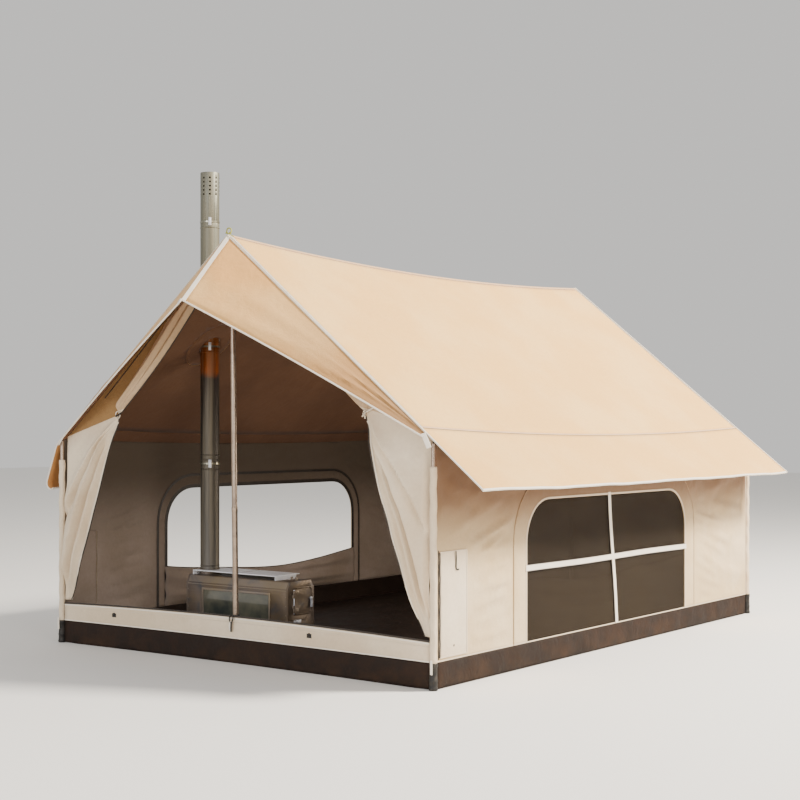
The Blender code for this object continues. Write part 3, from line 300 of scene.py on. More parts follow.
# %% [markdown]
# ## Putting a piece into the tent
# `piece` turns a bmesh into an object at the origin, shades it, gives it a wall thickness if it is cloth,
# parents it to an empty for the body that carries it, and hides the plain solid that it stands for.

# %% Piece maker
SHARP, NEARLY_FLAT = math.radians(38), math.radians(0.5)
made_pieces, told = [], []


def piece(name, shape, finish, slot, body="tent", stands_for=(), wall=0.0, lining=None, sharp=SHARP):
    mesh = bpy.data.meshes.new(name)
    shape.to_mesh(mesh)
    shape.free()
    mesh.shade_smooth()
    mesh.set_sharp_from_angle(angle=sharp)
    mesh.materials.append(finish)
    made = bpy.data.objects.new(name, mesh)
    bpy.context.scene.collection.objects.link(made)
    if wall:
        thick = made.modifiers.new("thickness", "SOLIDIFY")
        thick.thickness = wall
        thick.offset = 0
        if lining:
            mesh.materials.append(lining)
            thick.material_offset = 1
    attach(made, body)
    if stands_for:
        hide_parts(*stands_for)
    made_pieces.append(made)
    return made


def tell(step):
    """Prints the pieces made since it last told them."""
    names = [made.name for made in made_pieces[len(told) :]]
    told.extend(names)
    print(f"{step}: {', '.join(names)}")


def cloth(name, shape, finish, lining, slot, nodes, body="tent", wall=CANVAS):
    """A cloth with an inner side of its own finish, which stands for plain panels of the frame."""
    return piece(name, shape, finish, slot, body, nodes, wall, lining)


# %% Rolled edges, tapes and cords


def roll_edges(shape, edges, width, segments=2):
    bmesh.ops.bevel(
        shape,
        geom=edges,
        offset=width,
        offset_type="OFFSET",
        segments=segments,
        profile=0.5,
        affect="EDGES",
        material=-1,
        clamp_overlap=True,
    )
    return shape


def machined(node, finish, slot, body="tent", width=0.0007, segments=2):
    """A copy of a frame solid whose hard edges are rolled, as on sheet metal."""
    shape = bmesh.new()
    shape.from_mesh(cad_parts[node].data)
    bmesh.ops.remove_doubles(shape, verts=shape.verts, dist=MERGE)
    bmesh.ops.dissolve_limit(shape, angle_limit=NEARLY_FLAT, verts=shape.verts, edges=shape.edges)
    corners = [e for e in shape.edges if len(e.link_faces) == 2 and e.calc_face_angle() > SHARP]
    shape = roll_edges(shape, corners, width, segments)
    return piece(f"{node}_finished", shape, finish, slot, body, (node,))


def tape(name, section, line, ups, finish, slot, body="tent", closed=False):
    """A tape, zip or seam along a line. section is its width, height and how far its edges roll."""
    return piece(name, sweep(tape_section(*section), line, ups, closed), finish, slot, body)


def cord(name, section, line, ups, finish, slot, body="tent", closed=False, stands_for=()):
    """A cord, hem or wire along a line. section is its radius and its number of sides."""
    return piece(name, sweep(round_section(*section), line, ups, closed), finish, slot, body, stands_for)


def ring_points(centre, radius, steps=40):
    """A level circle as points, with its first point again at the end."""
    turns = [2 * math.pi * step / steps for step in range(steps + 1)]
    return [
        Vector((centre.x + radius * math.cos(t), centre.y + radius * math.sin(t), centre.z)) for t in turns
    ]


def straight(start, end, steps):
    """Evenly spaced points from one point to another."""
    return [Vector(start).lerp(Vector(end), share) for share in shares(steps)]


def moved(shape, spot, *turns):
    """Turns a shape about the origin and then sets it down at a spot."""
    matrix = Matrix.Translation(spot)
    for turn in turns:
        matrix = matrix @ turn
    bmesh.ops.transform(shape, matrix=matrix, verts=shape.verts)
    return shape


print("a line in 4 steps:", straight((0, 0, 0), (0, 0, 1), 4))

# %% [markdown]
# ## Finishes
# Colours are written as sRGB hex values, as one would pick them from a swatch, and one function turns them to
# the linear values that a shader works in. One more function adds a node with its settings and its links.

# %% Colour and node helpers


def colour(code):
    """An sRGB hex colour as linear red, green, blue and alpha."""
    channels = [int(code[start : start + 2], 16) / 255 for start in (1, 3, 5)]
    return (*[c / 12.92 if c <= 0.04045 else ((c + 0.055) / 1.055) ** 2.4 for c in channels], 1.0)


MAIN_OUTPUT = {"ShaderNodeMix": 2, "ShaderNodeTexWave": 1}  # the mixed colour, and the wave as a number


def main_output(value):
    """A node stands for its main output, and anything else for itself."""
    if isinstance(value, bpy.types.Node):
        return value.outputs[MAIN_OUTPUT.get(value.bl_idname, 0)]
    return value


# A kind is the node's Blender type after the word ShaderNode.
def add_node(finish, kind, inputs=None, **settings):
    """Adds one node. An input gets a value, a hex colour, an output, or a node for its main output."""
    made = finish.node_tree.nodes.new("ShaderNode" + kind)
    for key, value in settings.items():
        setattr(made, key, value)
    for key, value in (inputs or {}).items():
        value = colour(value) if isinstance(value, str) else main_output(value)
        if isinstance(value, bpy.types.NodeSocket):
            finish.node_tree.links.new(value, made.inputs[key])
        else:
            made.inputs[key].default_value = value
    return made


def finish_named(name, **inputs):
    """A material and its Principled shader, with constants on the shader's own sockets."""
    made = bpy.data.materials.new(name)
    made.use_nodes = True
    shader = made.node_tree.nodes["Principled BSDF"]
    for key, value in inputs.items():
        shader.inputs[key.replace("_", " ").title().replace("Ior", "IOR")].default_value = value
    return made, shader


def connect(finish, shader, **outputs):
    for key, output in outputs.items():
        finish.node_tree.links.new(main_output(output), shader.inputs[key.replace("_", " ").title()])


def band_period(pitch):
    """The Wave texture's scale for one band each pitch metres."""
    return 2 * math.pi / 20 / pitch


print("middle grey in linear light:", round(colour("#808080")[0], 3))

# %% [markdown]
# ### Cotton canvas
# The roof and walls are a plain-woven cotton and polyester canvas with a water-repellent finish. It is dull,
# with a faint sheen at a glancing angle. Real yarns are about half a millimetre apart, which can't show at
# this distance, so the weave is drawn at 3 mm. Slow mottling in Object coordinates stands for uneven dye and
# handling marks.

# %% Canvas finishes
THREAD_PITCH = 0.003
# Painted shade, for canvas kept in the dark under the wing, low on the beak and high on the walls inside:
# its colour, the height where that painted shade starts, and the height where it is full.
WING_SHADE, BEAK_SHADE = ("#5C3818", 0.50, 0.86), ("#7A5836", 1.86, 1.00)
INSIDE_SHADE = ("#4A3E30", 0.42, 0.92)


def canvas(name, main, deep, bleached, sheen=0.12, shade=None):
    finish, shader = finish_named(name, roughness=0.88, sheen_weight=sheen, sheen_roughness=0.6)
    where = add_node(finish, "TexCoord")
    place = where.outputs["Object"]
    scale = {
        "Vector": where.outputs["UV"], "Scale": band_period(THREAD_PITCH), "Distortion": 0.6, "Detail": 1.0
    }
    warp = add_node(finish, "TexWave", scale, bands_direction="X")
    weft = add_node(finish, "TexWave", scale, bands_direction="Y")
    yarn = add_node(finish, "Math", {0: warp, 1: weft}, operation="MAXIMUM")
    slubs = add_node(finish, "TexNoise", {"Vector": place, "Scale": 60.0, "Detail": 3.0})
    swell = add_node(finish, "TexNoise", {"Vector": place, "Scale": 2.1, "Detail": 4.0, "Roughness": 0.55})
    patch = add_node(finish, "MapRange", {0: swell, 1: 0.38, 2: 0.66}, interpolation_type="SMOOTHSTEP")
    dyed = add_node(finish, "Mix", {0: patch, 6: main, 7: bleached}, data_type="RGBA")
    speckle = add_node(finish, "Math", {0: slubs, 1: 0.30}, operation="MULTIPLY")
    flecked = add_node(finish, "Mix", {0: speckle, 6: dyed, 7: deep}, data_type="RGBA")
    dip = add_node(finish, "MapRange", {0: yarn, 1: 0.35, 2: 1.0, 3: 0.22, 4: 0.0})
    woven = add_node(finish, "Mix", {0: dip, 6: flecked, 7: deep}, data_type="RGBA")
    # Painted shade: a darker colour mixed in by height.
    if shade:
        split = add_node(finish, "SeparateXYZ", {0: place})
        in_shade = add_node(
            finish,
            "MapRange",
            {0: split.outputs[2], 1: shade[1], 2: shade[2], 3: 0.0, 4: 0.9},
            interpolation_type="SMOOTHSTEP",
        )
        woven = add_node(finish, "Mix", {0: in_shade, 6: woven, 7: shade[0]}, data_type="RGBA")
    creased = add_node(
        finish,
        "TexNoise",
        {"Vector": place, "Scale": 16.0, "Detail": 5.0, "Roughness": 0.6, "Distortion": 0.4},
    )
    crease_bump = add_node(finish, "Bump", {"Height": creased, "Strength": 0.45, "Distance": 0.009})
    weave_bump = add_node(
        finish, "Bump", {"Height": yarn, "Strength": 0.16, "Distance": 0.001, "Normal": crease_bump}
    )
    connect(finish, shader, base_color=woven, normal=weave_bump)
    return finish


# %% The canvases of this tent
ROOF_CANVAS = canvas("roof_canvas_sand", "#F3BE6A", "#B88844", "#F7C97C")
# The roof's inside is the same canvas as its outside: this dark brown is painted shade.
ROOF_UNDERSIDE_PAINTED_SHADE = canvas("roof_canvas_inside", "#6E4A30", "#4C301C", "#7C563A", sheen=0.05)
# Orange copy for the undersides of the beak and wings: painted glow of light through the canvas.
BEAK_UNDERSIDE_PAINTED_GLOW = canvas("beak_canvas_inside", "#B0763C", "#7C4E22", "#BE8448", sheen=0.05)
WALL_CANVAS = canvas("wall_canvas_ecru", "#DCC8AA", "#AE9676", "#E8D8BE")
# Side walls: a warmer, darker copy of the wall canvas, with painted shade under the wing.
SHADED_CANVAS = canvas("wall_canvas_under_wing", "#D4B98C", "#A88A62", "#E2CCA6", shade=WING_SHADE)
# The beak: a darker copy of the roof canvas as painted shade, darkest towards its lower corners.
BEAK_PAINTED_SHADE_CANVAS = canvas("beak_canvas_sand", "#E3A85C", "#A8783C", "#EEBE78", shade=BEAK_SHADE)
# Inside of the walls: a greyer, darker copy of the wall canvas as painted shade, darkest high up.
WALL_INSIDE_PAINTED_SHADE = canvas("wall_canvas_inside", "#98887A", "#685A4C", "#A6968A", sheen=0.05, shade=INSIDE_SHADE)
# The door's strip under the roof: painted glow of light through the roof canvas, and painted shade.
STRIP_PAINTED_GLOW_CANVAS = canvas("door_strip_canvas", "#94703F", "#5E4424", "#A07C4C", sheen=0.05)
# The door's sling above the tie: a darker tan copy of the wall canvas as painted shade.
SLING_PAINTED_SHADE_CANVAS = canvas("door_sling_canvas", "#BD9E7A", "#8C7050", "#CCB08C")
print("canvas finishes:", ROOF_CANVAS.name, WALL_CANVAS.name)

# %% [markdown]
# ### Binding and tape
# Hems are bound with a smooth white polyester tape, sewn with a row of stitches near each edge. The rows are
# drawn from the tape's own UV map: dashes on a 6 mm pitch, about a seventh of the width in from each side.
# Dark coil zips have the same build, with teeth near the middle of the tape in place of stitches.

# %% Tape, zip and cord finishes
STITCH_PITCH = 0.006


def taped(name, main, thread, roughness=0.7, rows=0.36, pitch=STITCH_PITCH, depth=0.4):
    finish, shader = finish_named(name, roughness=roughness, sheen_weight=0.1)
    where = add_node(finish, "TexCoord")
    split = add_node(finish, "SeparateXYZ", {0: where.outputs["UV"]})
    across = add_node(finish, "Math", {0: split, 1: 0.5}, operation="SUBTRACT")
    off = add_node(finish, "Math", {0: across}, operation="ABSOLUTE")
    row = add_node(finish, "Math", {0: off, 1: rows, 2: 0.035}, operation="COMPARE")
    dash = add_node(
        finish, "TexWave", {"Vector": where.outputs["UV"], "Scale": band_period(pitch)}, bands_direction="Y"
    )
    gap = add_node(finish, "Math", {0: dash, 1: 0.3}, operation="GREATER_THAN")
    stitch = add_node(finish, "Math", {0: row, 1: gap}, operation="MULTIPLY")
    soil = add_node(finish, "TexNoise", {"Vector": where.outputs["Object"], "Scale": 14.0, "Detail": 4.0})
    share = add_node(finish, "Math", {0: soil, 1: 0.35}, operation="MULTIPLY")
    base = add_node(finish, "Mix", {0: share, 6: main, 7: thread}, data_type="RGBA")
    sewn = add_node(finish, "Mix", {0: stitch, 6: base, 7: thread}, data_type="RGBA")
    raised = add_node(finish, "Bump", {"Height": stitch, "Strength": depth, "Distance": 0.001})
    connect(finish, shader, base_color=sewn, normal=raised)
    return finish


WHITE_BINDING = taped("white_polyester_binding", "#F3EBDD", "#A9957A", roughness=0.55)
SAND_TAPE = taped("sand_seam_tape", "#DDB68C", "#8A6238")
ECRU_TAPE = taped("ecru_seam_tape", "#DCCBB2", "#8F7A5E")
# The window facing's seam: a row of stitches whose brown is painted shadow of the crease along it.
SEAM_PAINTED_SHADOW = taped("shadowed_stitch_row", "#A98A66", "#6E5438")
DARK_ZIP = taped("dark_coil_zip", "#33281E", "#110C08", roughness=0.5, rows=0.1, pitch=0.004, depth=0.8)
BLACK_WEBBING = taped("black_webbing", "#24211D", "#0E0D0B", rows=0.2, pitch=0.003, depth=0.6)
GREEN_CORD = taped("yellow_green_cord", "#A5A23C", "#5E6322", rows=0.2, pitch=0.004, depth=0.8)
CREAM_CORD = taped("cream_tie_cord", "#E9DDC8", "#A08A6B", rows=0.2, pitch=0.004, depth=0.8)
print("finishes with tapes and cords:", len(bpy.data.materials))

# %% [markdown]
# ### Coated floor fabric, mesh and jack
# The tub is a dark brown polyester with a polyurethane coat: smoother than canvas, so its creases catch
# light, and dusty towards the ground. The insect mesh is a fine dark net. Its holes are far too small to draw
# at this distance, so the net is a sheet that lets a part of the light through, drawn with a 4 mm grid. The
# jack is silicone-coated cloth.

# %% Floor, mesh and jack finishes


def coated(name, main, worn, dust, roughness=0.60, dust_height=0.12):
    finish, shader = finish_named(name, specular_ior_level=0.3)
    where = add_node(finish, "TexCoord")
    split = add_node(finish, "SeparateXYZ", {0: where.outputs["Object"]})
    low = add_node(finish, "MapRange", {0: split.outputs[2], 1: 0.0, 2: dust_height, 3: 1.0, 4: 0.0})
    cloud = add_node(
        finish,
        "TexNoise",
        {"Vector": where.outputs["Object"], "Scale": 7.0, "Detail": 6.0, "Roughness": 0.65},
    )
    streak = add_node(finish, "MapRange", {0: cloud, 1: 0.42, 2: 0.70})
    dusty = add_node(finish, "Math", {0: low, 1: streak}, operation="MULTIPLY")
    faint = add_node(finish, "Math", {0: dusty, 1: 0.55}, operation="MULTIPLY")
    base = add_node(finish, "Mix", {0: streak, 6: main, 7: worn}, data_type="RGBA")
    soiled = add_node(finish, "Mix", {0: faint, 6: base, 7: dust}, data_type="RGBA")
    shine = add_node(finish, "MapRange", {0: cloud, 1: 0.3, 2: 0.7, 3: roughness, 4: roughness + 0.2})
    crinkle = add_node(
        finish,
        "TexNoise",
        {
            "Vector": where.outputs["Object"],
            "Scale": 11.0,
            "Detail": 7.0,
            "Roughness": 0.62,
            "Distortion": 0.8,
        },
    )
    rib = add_node(
        finish,
        "TexWave",
        {"Vector": where.outputs["UV"], "Scale": band_period(THREAD_PITCH)},
        bands_direction="DIAGONAL",
    )
    crinkled = add_node(finish, "Bump", {"Height": crinkle, "Strength": 0.6, "Distance": 0.012})
    ribbed = add_node(
        finish, "Bump", {"Height": rib, "Strength": 0.08, "Distance": 0.001, "Normal": crinkled}
    )
    connect(finish, shader, base_color=soiled, roughness=shine, normal=ribbed)
    return finish


TUB_FABRIC = coated("brown_coated_polyester", "#1E120A", "#2A1A10", "#453222", roughness=0.70)
FLOOR_FABRIC = coated("brown_floor_polyester", "#20140D", "#2A1C14", "#3A2C22", dust_height=0.02)
JACK_CLOTH = coated("silicone_jack_cloth", "#6B3A1C", "#7D4826", "#4A2B18", roughness=0.55)

# %% Insect mesh finish


def netting():
    finish, shader = finish_named("dark_insect_mesh", roughness=0.8, alpha=0.76, specular_ior_level=0.2)
    where = add_node(finish, "TexCoord")
    scale = {"Vector": where.outputs["UV"], "Scale": band_period(0.004)}
    across = add_node(finish, "TexWave", scale, bands_direction="X")
    along = add_node(finish, "TexWave", scale, bands_direction="Y")
    thread = add_node(finish, "Math", {0: across, 1: along}, operation="MAXIMUM")
    cloud = add_node(finish, "TexNoise", {"Vector": where.outputs["Object"], "Scale": 2.6, "Detail": 4.0})
    haze = add_node(finish, "Mix", {0: cloud, 6: "#1E160E", 7: "#3A2E1E"}, data_type="RGBA")
    knit = add_node(finish, "Mix", {0: thread, 6: "#120D08", 7: haze}, data_type="RGBA")
    raised = add_node(finish, "Bump", {"Height": thread, "Strength": 0.25, "Distance": 0.001})
    connect(finish, shader, base_color=knit, normal=raised)
    return finish


MESH_FABRIC = netting()
print("finishes with floor and mesh:", len(bpy.data.materials))

# %% [markdown]
# ### Metals, rubber and glass
# The stove is sheet steel that has been through many fires, so its warm grey is mottled with straw and blue
# oxide. The cook plate is nearly white, which is painted light: it stands in for the bright reflection of its
# steel. The poles are anodised aluminium in a bronze brown. A bare metal takes its colour from what it
# reflects, which in here is dark canvas. Oxide, soot and scratches scatter light instead, so metallic stays
# below 1, and is lowest on the cook plate, whose painted light takes the place of a reflection.

# %% Metal finishes


def oxidised(name, main, straw, blue, along, roughness=0.38, size=5.0, metallic=0.9):
    finish, shader = finish_named(name, metallic=metallic)
    place = add_node(finish, "TexCoord").outputs["Object"]
    stretched = add_node(finish, "Mapping", {"Vector": place, "Scale": along})
    cloud = add_node(finish, "TexNoise", {"Vector": place, "Scale": size, "Detail": 5.0, "Roughness": 0.6})
    spots = add_node(
        finish, "TexNoise", {"Vector": place, "Scale": size * 2.3, "Detail": 3.0, "Distortion": 0.5}
    )
    warm = add_node(finish, "MapRange", {0: cloud, 1: 0.40, 2: 0.68})
    cold = add_node(finish, "MapRange", {0: spots, 1: 0.54, 2: 0.72, 3: 0.0, 4: 0.8})
    tinted = add_node(finish, "Mix", {0: warm, 6: main, 7: straw}, data_type="RGBA")
    burnt = add_node(finish, "Mix", {0: cold, 6: tinted, 7: blue}, data_type="RGBA")
    grain = add_node(
        finish, "TexNoise", {"Vector": stretched, "Scale": 90.0, "Detail": 4.0, "Roughness": 0.7}
    )
    shine = add_node(finish, "MapRange", {0: grain, 1: 0.3, 2: 0.7, 3: roughness - 0.08, 4: roughness + 0.14})
    brush = add_node(finish, "Bump", {"Height": grain, "Strength": 0.12, "Distance": 0.001})
    dents = add_node(finish, "Bump", {"Height": cloud, "Strength": 0.25, "Distance": 0.008, "Normal": brush})
    connect(finish, shader, base_color=burnt, roughness=shine, normal=dents)
    return finish


# %% The metals of the stove, the flue and the poles
# How the brushing runs: along the stove, up a pole or pipe, or not at all.
LENGTHWAYS, UPRIGHT, NO_GRAIN = (0.06, 1, 1), (1, 1, 0.05), (1, 1, 1)
STOVE_STEEL = oxidised(
    "oxidised_stove_steel", "#6C6159", "#756550", "#4C5259", LENGTHWAYS, roughness=0.46, metallic=0.6
)
HEADER_STEEL = oxidised("header_strip_steel", "#887C71", "#8C7D66", "#68686C", LENGTHWAYS, metallic=0.6)
FLUE_STEEL = oxidised("flue_pipe_steel", "#8F8D80", "#9A9174", "#6C7268", UPRIGHT, roughness=0.3)
BRIGHT_STEEL = oxidised(
    "brushed_plate_steel", "#E4E5EA", "#D8D8DC", "#CBD0D8", LENGTHWAYS, size=9.0, metallic=0.35
)
# The cook plate: near-white painted light, which stands in for a bright reflection.
PLATE_PAINTED_LIGHT = oxidised(
    "scrubbed_cook_plate_steel", "#F4F5F8", "#E9E9EE", "#DCE0E8", LENGTHWAYS, size=9.0, metallic=0.06
)
SOOTY_STEEL = oxidised("sooty_firebox_steel", "#2B2724", "#3A322A", "#24262A", NO_GRAIN, roughness=0.7)
BRONZE_POLE = oxidised(
    "bronze_anodised_pole", "#AE9C8B", "#9A8674", "#85766A", UPRIGHT, roughness=0.26, metallic=0.75
)
print("metals done, finishes:", len(bpy.data.materials))

# %% Rubber and glass finishes


def rubber():
    finish, shader = finish_named("moulded_black_rubber", roughness=0.6, specular_ior_level=0.4)
    place = add_node(finish, "TexCoord").outputs["Object"]
    dust = add_node(finish, "TexNoise", {"Vector": place, "Scale": 45.0, "Detail": 5.0})
    share = add_node(finish, "MapRange", {0: dust, 1: 0.45, 2: 0.75, 3: 0.0, 4: 0.6})
    base = add_node(finish, "Mix", {0: share, 6: "#1B1917", 7: "#4A433B"}, data_type="RGBA")
    pits = add_node(finish, "Bump", {"Height": dust, "Strength": 0.3, "Distance": 0.001})
    connect(finish, shader, base_color=base, normal=pits)
    return finish


def smoked_glass():
    finish, shader = finish_named("smoked_stove_glass", ior=1.47, specular_ior_level=0.7, coat_weight=0.6)
    place = add_node(finish, "TexCoord").outputs["Object"]
    soot = add_node(finish, "TexNoise", {"Vector": place, "Scale": 6.0, "Detail": 5.0})
    share = add_node(finish, "MapRange", {0: soot, 1: 0.35, 2: 0.7})
    base = add_node(finish, "Mix", {0: share, 6: "#3A3E3A", 7: "#6E6A58"}, data_type="RGBA")
    film = add_node(finish, "MapRange", {0: soot, 1: 0.3, 2: 0.7, 3: 0.08, 4: 0.3})
    connect(finish, shader, base_color=base, roughness=film)
    return finish


BLACK_RUBBER = rubber()
STOVE_GLASS = smoked_glass()
print("finishes made:", len(bpy.data.materials))

# %% [markdown]
# ## The roof
# One function gives any point of a slope: the distance down from the ridge, the place along the tent, and a
# lift off the cloth for the tapes that are sewn on it. Past the eave seam the slope goes on as a wing. The
# right wing is held out straight by guy lines. The left one hangs slack, and its hem curls in under itself. A
# cloth simulation could find the sag as well. A formula gives the same cloth on every run, and seams and
# tapes can ask it where they lie.

# %% Roof and wing curves
ROOF_RUN, RIDGE_GAP = EAVE_REACH / math.cos(SLOPE_ANGLE), 0.004
DROOP_ANGLE, CURL_ANGLE = math.radians(68), math.radians(205)
DROOP_START, DROOP_BEND, DROOP_FALL = 0.02, 0.05, 0.18
PROFILE_STEPS = 160


def sag_share(y):
    return 1 - (2 * y / LENGTH) ** 2


def roof_height(reach, y):
    sag = mix(RIDGE_SAG, EAVE_SAG, reach / EAVE_REACH)
    return RIDGE_HEIGHT - SLOPE * reach - sag * sag_share(y)


def hanging_wing():
    """Reach, height and angle along the slack left wing."""
    bend_start = (HALF_WIDTH + DROOP_START - EAVE_REACH) / math.cos(SLOPE_ANGLE)
    curl_start = bend_start + DROOP_BEND + DROOP_FALL
    reach, height, made = EAVE_REACH, RIDGE_HEIGHT - SLOPE * EAVE_REACH, []
    for step in range(PROFILE_STEPS + 1):
        run = WING_LENGTH * (step + 0.5) / PROFILE_STEPS
        bent = mix(SLOPE_ANGLE, DROOP_ANGLE, smooth((run - bend_start) / DROOP_BEND))
        curl = clamp((run - curl_start) / (WING_LENGTH - curl_start))
        angle = bent + (CURL_ANGLE - DROOP_ANGLE) * curl
        made.append((reach, height, angle))
        reach += WING_LENGTH / PROFILE_STEPS * math.cos(angle)
        height -= WING_LENGTH / PROFILE_STEPS * math.sin(angle)
    return made


HANGING_WING = hanging_wing()


def slope_point(side, run, y, lift=0.0):
    """A point run metres down a slope from the ridge, lifted off the cloth."""
    if run <= ROOF_RUN:
        reach, angle = run * math.cos(SLOPE_ANGLE), SLOPE_ANGLE
        height = roof_height(reach, y)
    else:
        beyond = min(run - ROOF_RUN, WING_LENGTH)
        sag = mix(EAVE_SAG, WING_SAG, beyond / WING_LENGTH) * sag_share(y)
        if side > 0:
            reach, angle = run * math.cos(SLOPE_ANGLE), SLOPE_ANGLE
            height = RIDGE_HEIGHT - SLOPE * reach - sag
        else:
            reach, height, angle = HANGING_WING[round(beyond / WING_LENGTH * PROFILE_STEPS)]
            height -= sag
    reach += lift * math.sin(angle)
    return Vector((side * reach, y, height + lift * math.cos(angle)))


def roof_up(side):
    return Vector((side * math.sin(SLOPE_ANGLE), 0, math.cos(SLOPE_ANGLE)))


print("from ridge to seam:", round(ROOF_RUN, 3), "m")

# %% Folds of the roof
# Folds of the right slope as (start, end, width, depth), in metres down the slope and along the tent.
ROOF_FOLDS = [
    ((0.02, FRONT + 0.05), (0.42, FRONT + 1.15), 0.030, 0.0045),
    ((0.03, FRONT + 0.03), (0.85, FRONT + 0.95), 0.034, 0.0045),
    ((0.05, FRONT + 0.02), (1.05, FRONT + 0.42), 0.030, 0.0035),
    ((0.02, REAR - 0.05), (0.50, REAR - 0.90), 0.040, 0.0040),
    ((1.30, FRONT + 0.06), (0.75, FRONT + 0.80), 0.045, 0.0035),
    ((1.36, REAR - 0.06), (0.95, REAR - 0.85), 0.045, 0.0040),
    ((0.55, 0.20), (0.78, 1.25), 0.060, 0.0030),
    ((0.80, -0.60), (1.02, 0.40), 0.060, 0.0030),
]


def slope_swell(run, y):
    edge = smooth((y - FRONT) / 0.05) * smooth((REAR - y) / 0.05) * smooth(run / 0.04)
    swell = folds_at(run, y, ROOF_FOLDS) + rumple(run, y, 0.22, 0.60, 0.005, 3.0)
    return swell * edge


def roof_cloth(side, word, holes=()):
    def place(run, y):
        seam = smooth((ROOF_RUN - run) / 0.04)
        from_flue = math.hypot(run * math.cos(SLOPE_ANGLE) + FLUE_X, y - FLUE_Y) if holes else LENGTH
        seam *= smooth((from_flue - JACK_RADIUS) / 0.08)
        return slope_point(side, run, y, slope_swell(run, y) * seam)

    if holes:
        outer = [(RIDGE_GAP, FRONT), (ROOF_RUN, FRONT), (ROOF_RUN, REAR), (RIDGE_GAP, REAR)]
        shape = cut_cloth(outer, holes, 0.045, place)
    else:
        size = (ROOF_RUN - RIDGE_GAP, LENGTH)
        shape = grid(36, 84, lambda u, v: place(mix(RIDGE_GAP, ROOF_RUN, u), mix(FRONT, REAR, v)), size)
    aim(shape, (0, 0, 1))
    return cloth(f"roof_cloth_{word}", shape, ROOF_CANVAS, ROOF_UNDERSIDE_PAINTED_SHADE, "roof_canvas", [f"roof_{word}"])


print("folds drawn on the roof:", len(ROOF_FOLDS))

# %% [markdown]
# The flue passes through the left slope. The hole for its jack is an ellipse on the slope, because it is
# round when seen from above.

# %% Make the slopes and the jack
flue = middle_of("flue_lower")
FLUE_X, FLUE_Y = flue.x, flue.y
FLUE_RADIUS = (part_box("flue_lower")[1].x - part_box("flue_lower")[0].x) / 2
JACK_RADIUS = 0.125


def slope_ring(radius):
    """A circle seen from above round the flue, as (run, y) points on the left slope."""
    made = []
    for step in range(48):
        turn = 2 * math.pi * step / 48
        reach = -FLUE_X + radius * math.cos(turn)
        made.append((reach / math.cos(SLOPE_ANGLE), FLUE_Y + radius * math.sin(turn)))
    return made


roof_right = roof_cloth(1, "right")
roof_left = roof_cloth(-1, "left", [slope_ring(JACK_RADIUS)])

jack_rims = slope_ring(JACK_RADIUS - 0.001), [slope_ring(FLUE_RADIUS + 0.001)]
jack = aim(cut_cloth(*jack_rims, 0.03, lambda run, y: slope_point(-1, run, y)), (0, 0, 1))
jack = cloth("jack_patch", jack, JACK_CLOTH, ROOF_UNDERSIDE_PAINTED_SHADE, "jack_cloth", ["flue_jack"])
for word, radius, width in (("outer", JACK_RADIUS, 0.022), ("inner", FLUE_RADIUS + 0.012, 0.014)):
    rim = [slope_point(-1, run, y, 0.001) for run, y in slope_ring(radius)]
    finish = SAND_TAPE if word == "outer" else JACK_CLOTH
    tape(f"jack_seam_{word}", (width, 0.002), rim + rim[:1], roof_up(-1), finish, "jack_cloth", closed=True)
tell("slopes and jack")

# %% Make the wings


def wing_lift(side, run, y):
    """The ripple of a wing off its slope. It starts outside the wall, whose top would come through it."""
    u = (run - ROOF_RUN) / WING_LENGTH
    edge = smooth((y - FRONT) / 0.04) * smooth((REAR - y) / 0.04)
    edge *= smooth((run - HALF_WIDTH / math.cos(SLOPE_ANGLE) - 0.015) / 0.07)
    if side > 0:
        long_wave = 0.0025 * math.sin(2 * math.pi * y / 0.83) * smooth(u)
        hem_wave = long_wave + 0.0010 * math.sin(2 * math.pi * y / 0.31) * u
        return (rumple(run, y, 0.2, 0.5, 0.005, 7.0) + hem_wave) * edge
    slack = rumple(run, y, 0.12, 0.28, 0.013, 9.0) + 0.006 * math.sin(2 * math.pi * (y / 0.47 + u))
    return slack * edge


def wing_cloth(side, word, rows):
    def place(u, v):
        run, y = ROOF_RUN + WING_LENGTH * mix(0.002, 1, u), mix(FRONT, REAR, v)
        return slope_point(side, run, y, wing_lift(side, run, y))

    shape = aim(grid(rows, 96, place, (WING_LENGTH, LENGTH)), (side * 0.4, 0, 1))
    # Faces inside the wall take the roof's painted shade underneath; the rest take the painted glow.
    for face in shape.faces:
        if abs(face.calc_center_median().x) < HALF_WIDTH + 0.03:
            face.material_index = 2
    made = cloth(f"wing_cloth_{word}", shape, ROOF_CANVAS, BEAK_UNDERSIDE_PAINTED_GLOW, "roof_canvas", [f"wing_{word}"])
    made.data.materials.append(ROOF_CANVAS)
    made.data.materials.append(ROOF_UNDERSIDE_PAINTED_SHADE)


wing_cloth(1, "right", 16)
wing_cloth(-1, "left", 40)
tell("wings")

# %% [markdown]
# ### Seams and edges of the roof
# The two slopes meet under a folded tape on the ridge. The wings are sewn on with a lapped seam, which shows
# as one dark row of thread. The front and rear edges carry a pair of cream piping cords, and between them a
# dark tape that is painted shadow of the gap between the cords. The hem of each wing is bound in white.

# %% Ridge tape, eave seams, piping and hems
half, rise = 0.020, 0.020 * SLOPE
ridge_section = [
    (half, -rise + 0.001),
    (half, -rise + 0.0035),
    (0.004, 0.0022),
    (0, 0.0030),
    (-0.004, 0.0022),
    (-half, -rise + 0.0035),
    (-half, -rise + 0.001),
    (0, 0.0005),
]
ridge_line = [Vector((0, mix(FRONT, REAR, v), 0)) for v in shares(48)]
for point in ridge_line:
    point.z = roof_height(0, point.y)
piece("ridge_tape", sweep(ridge_section, ridge_line, (0, 0, 1)), SAND_TAPE, "roof_canvas")

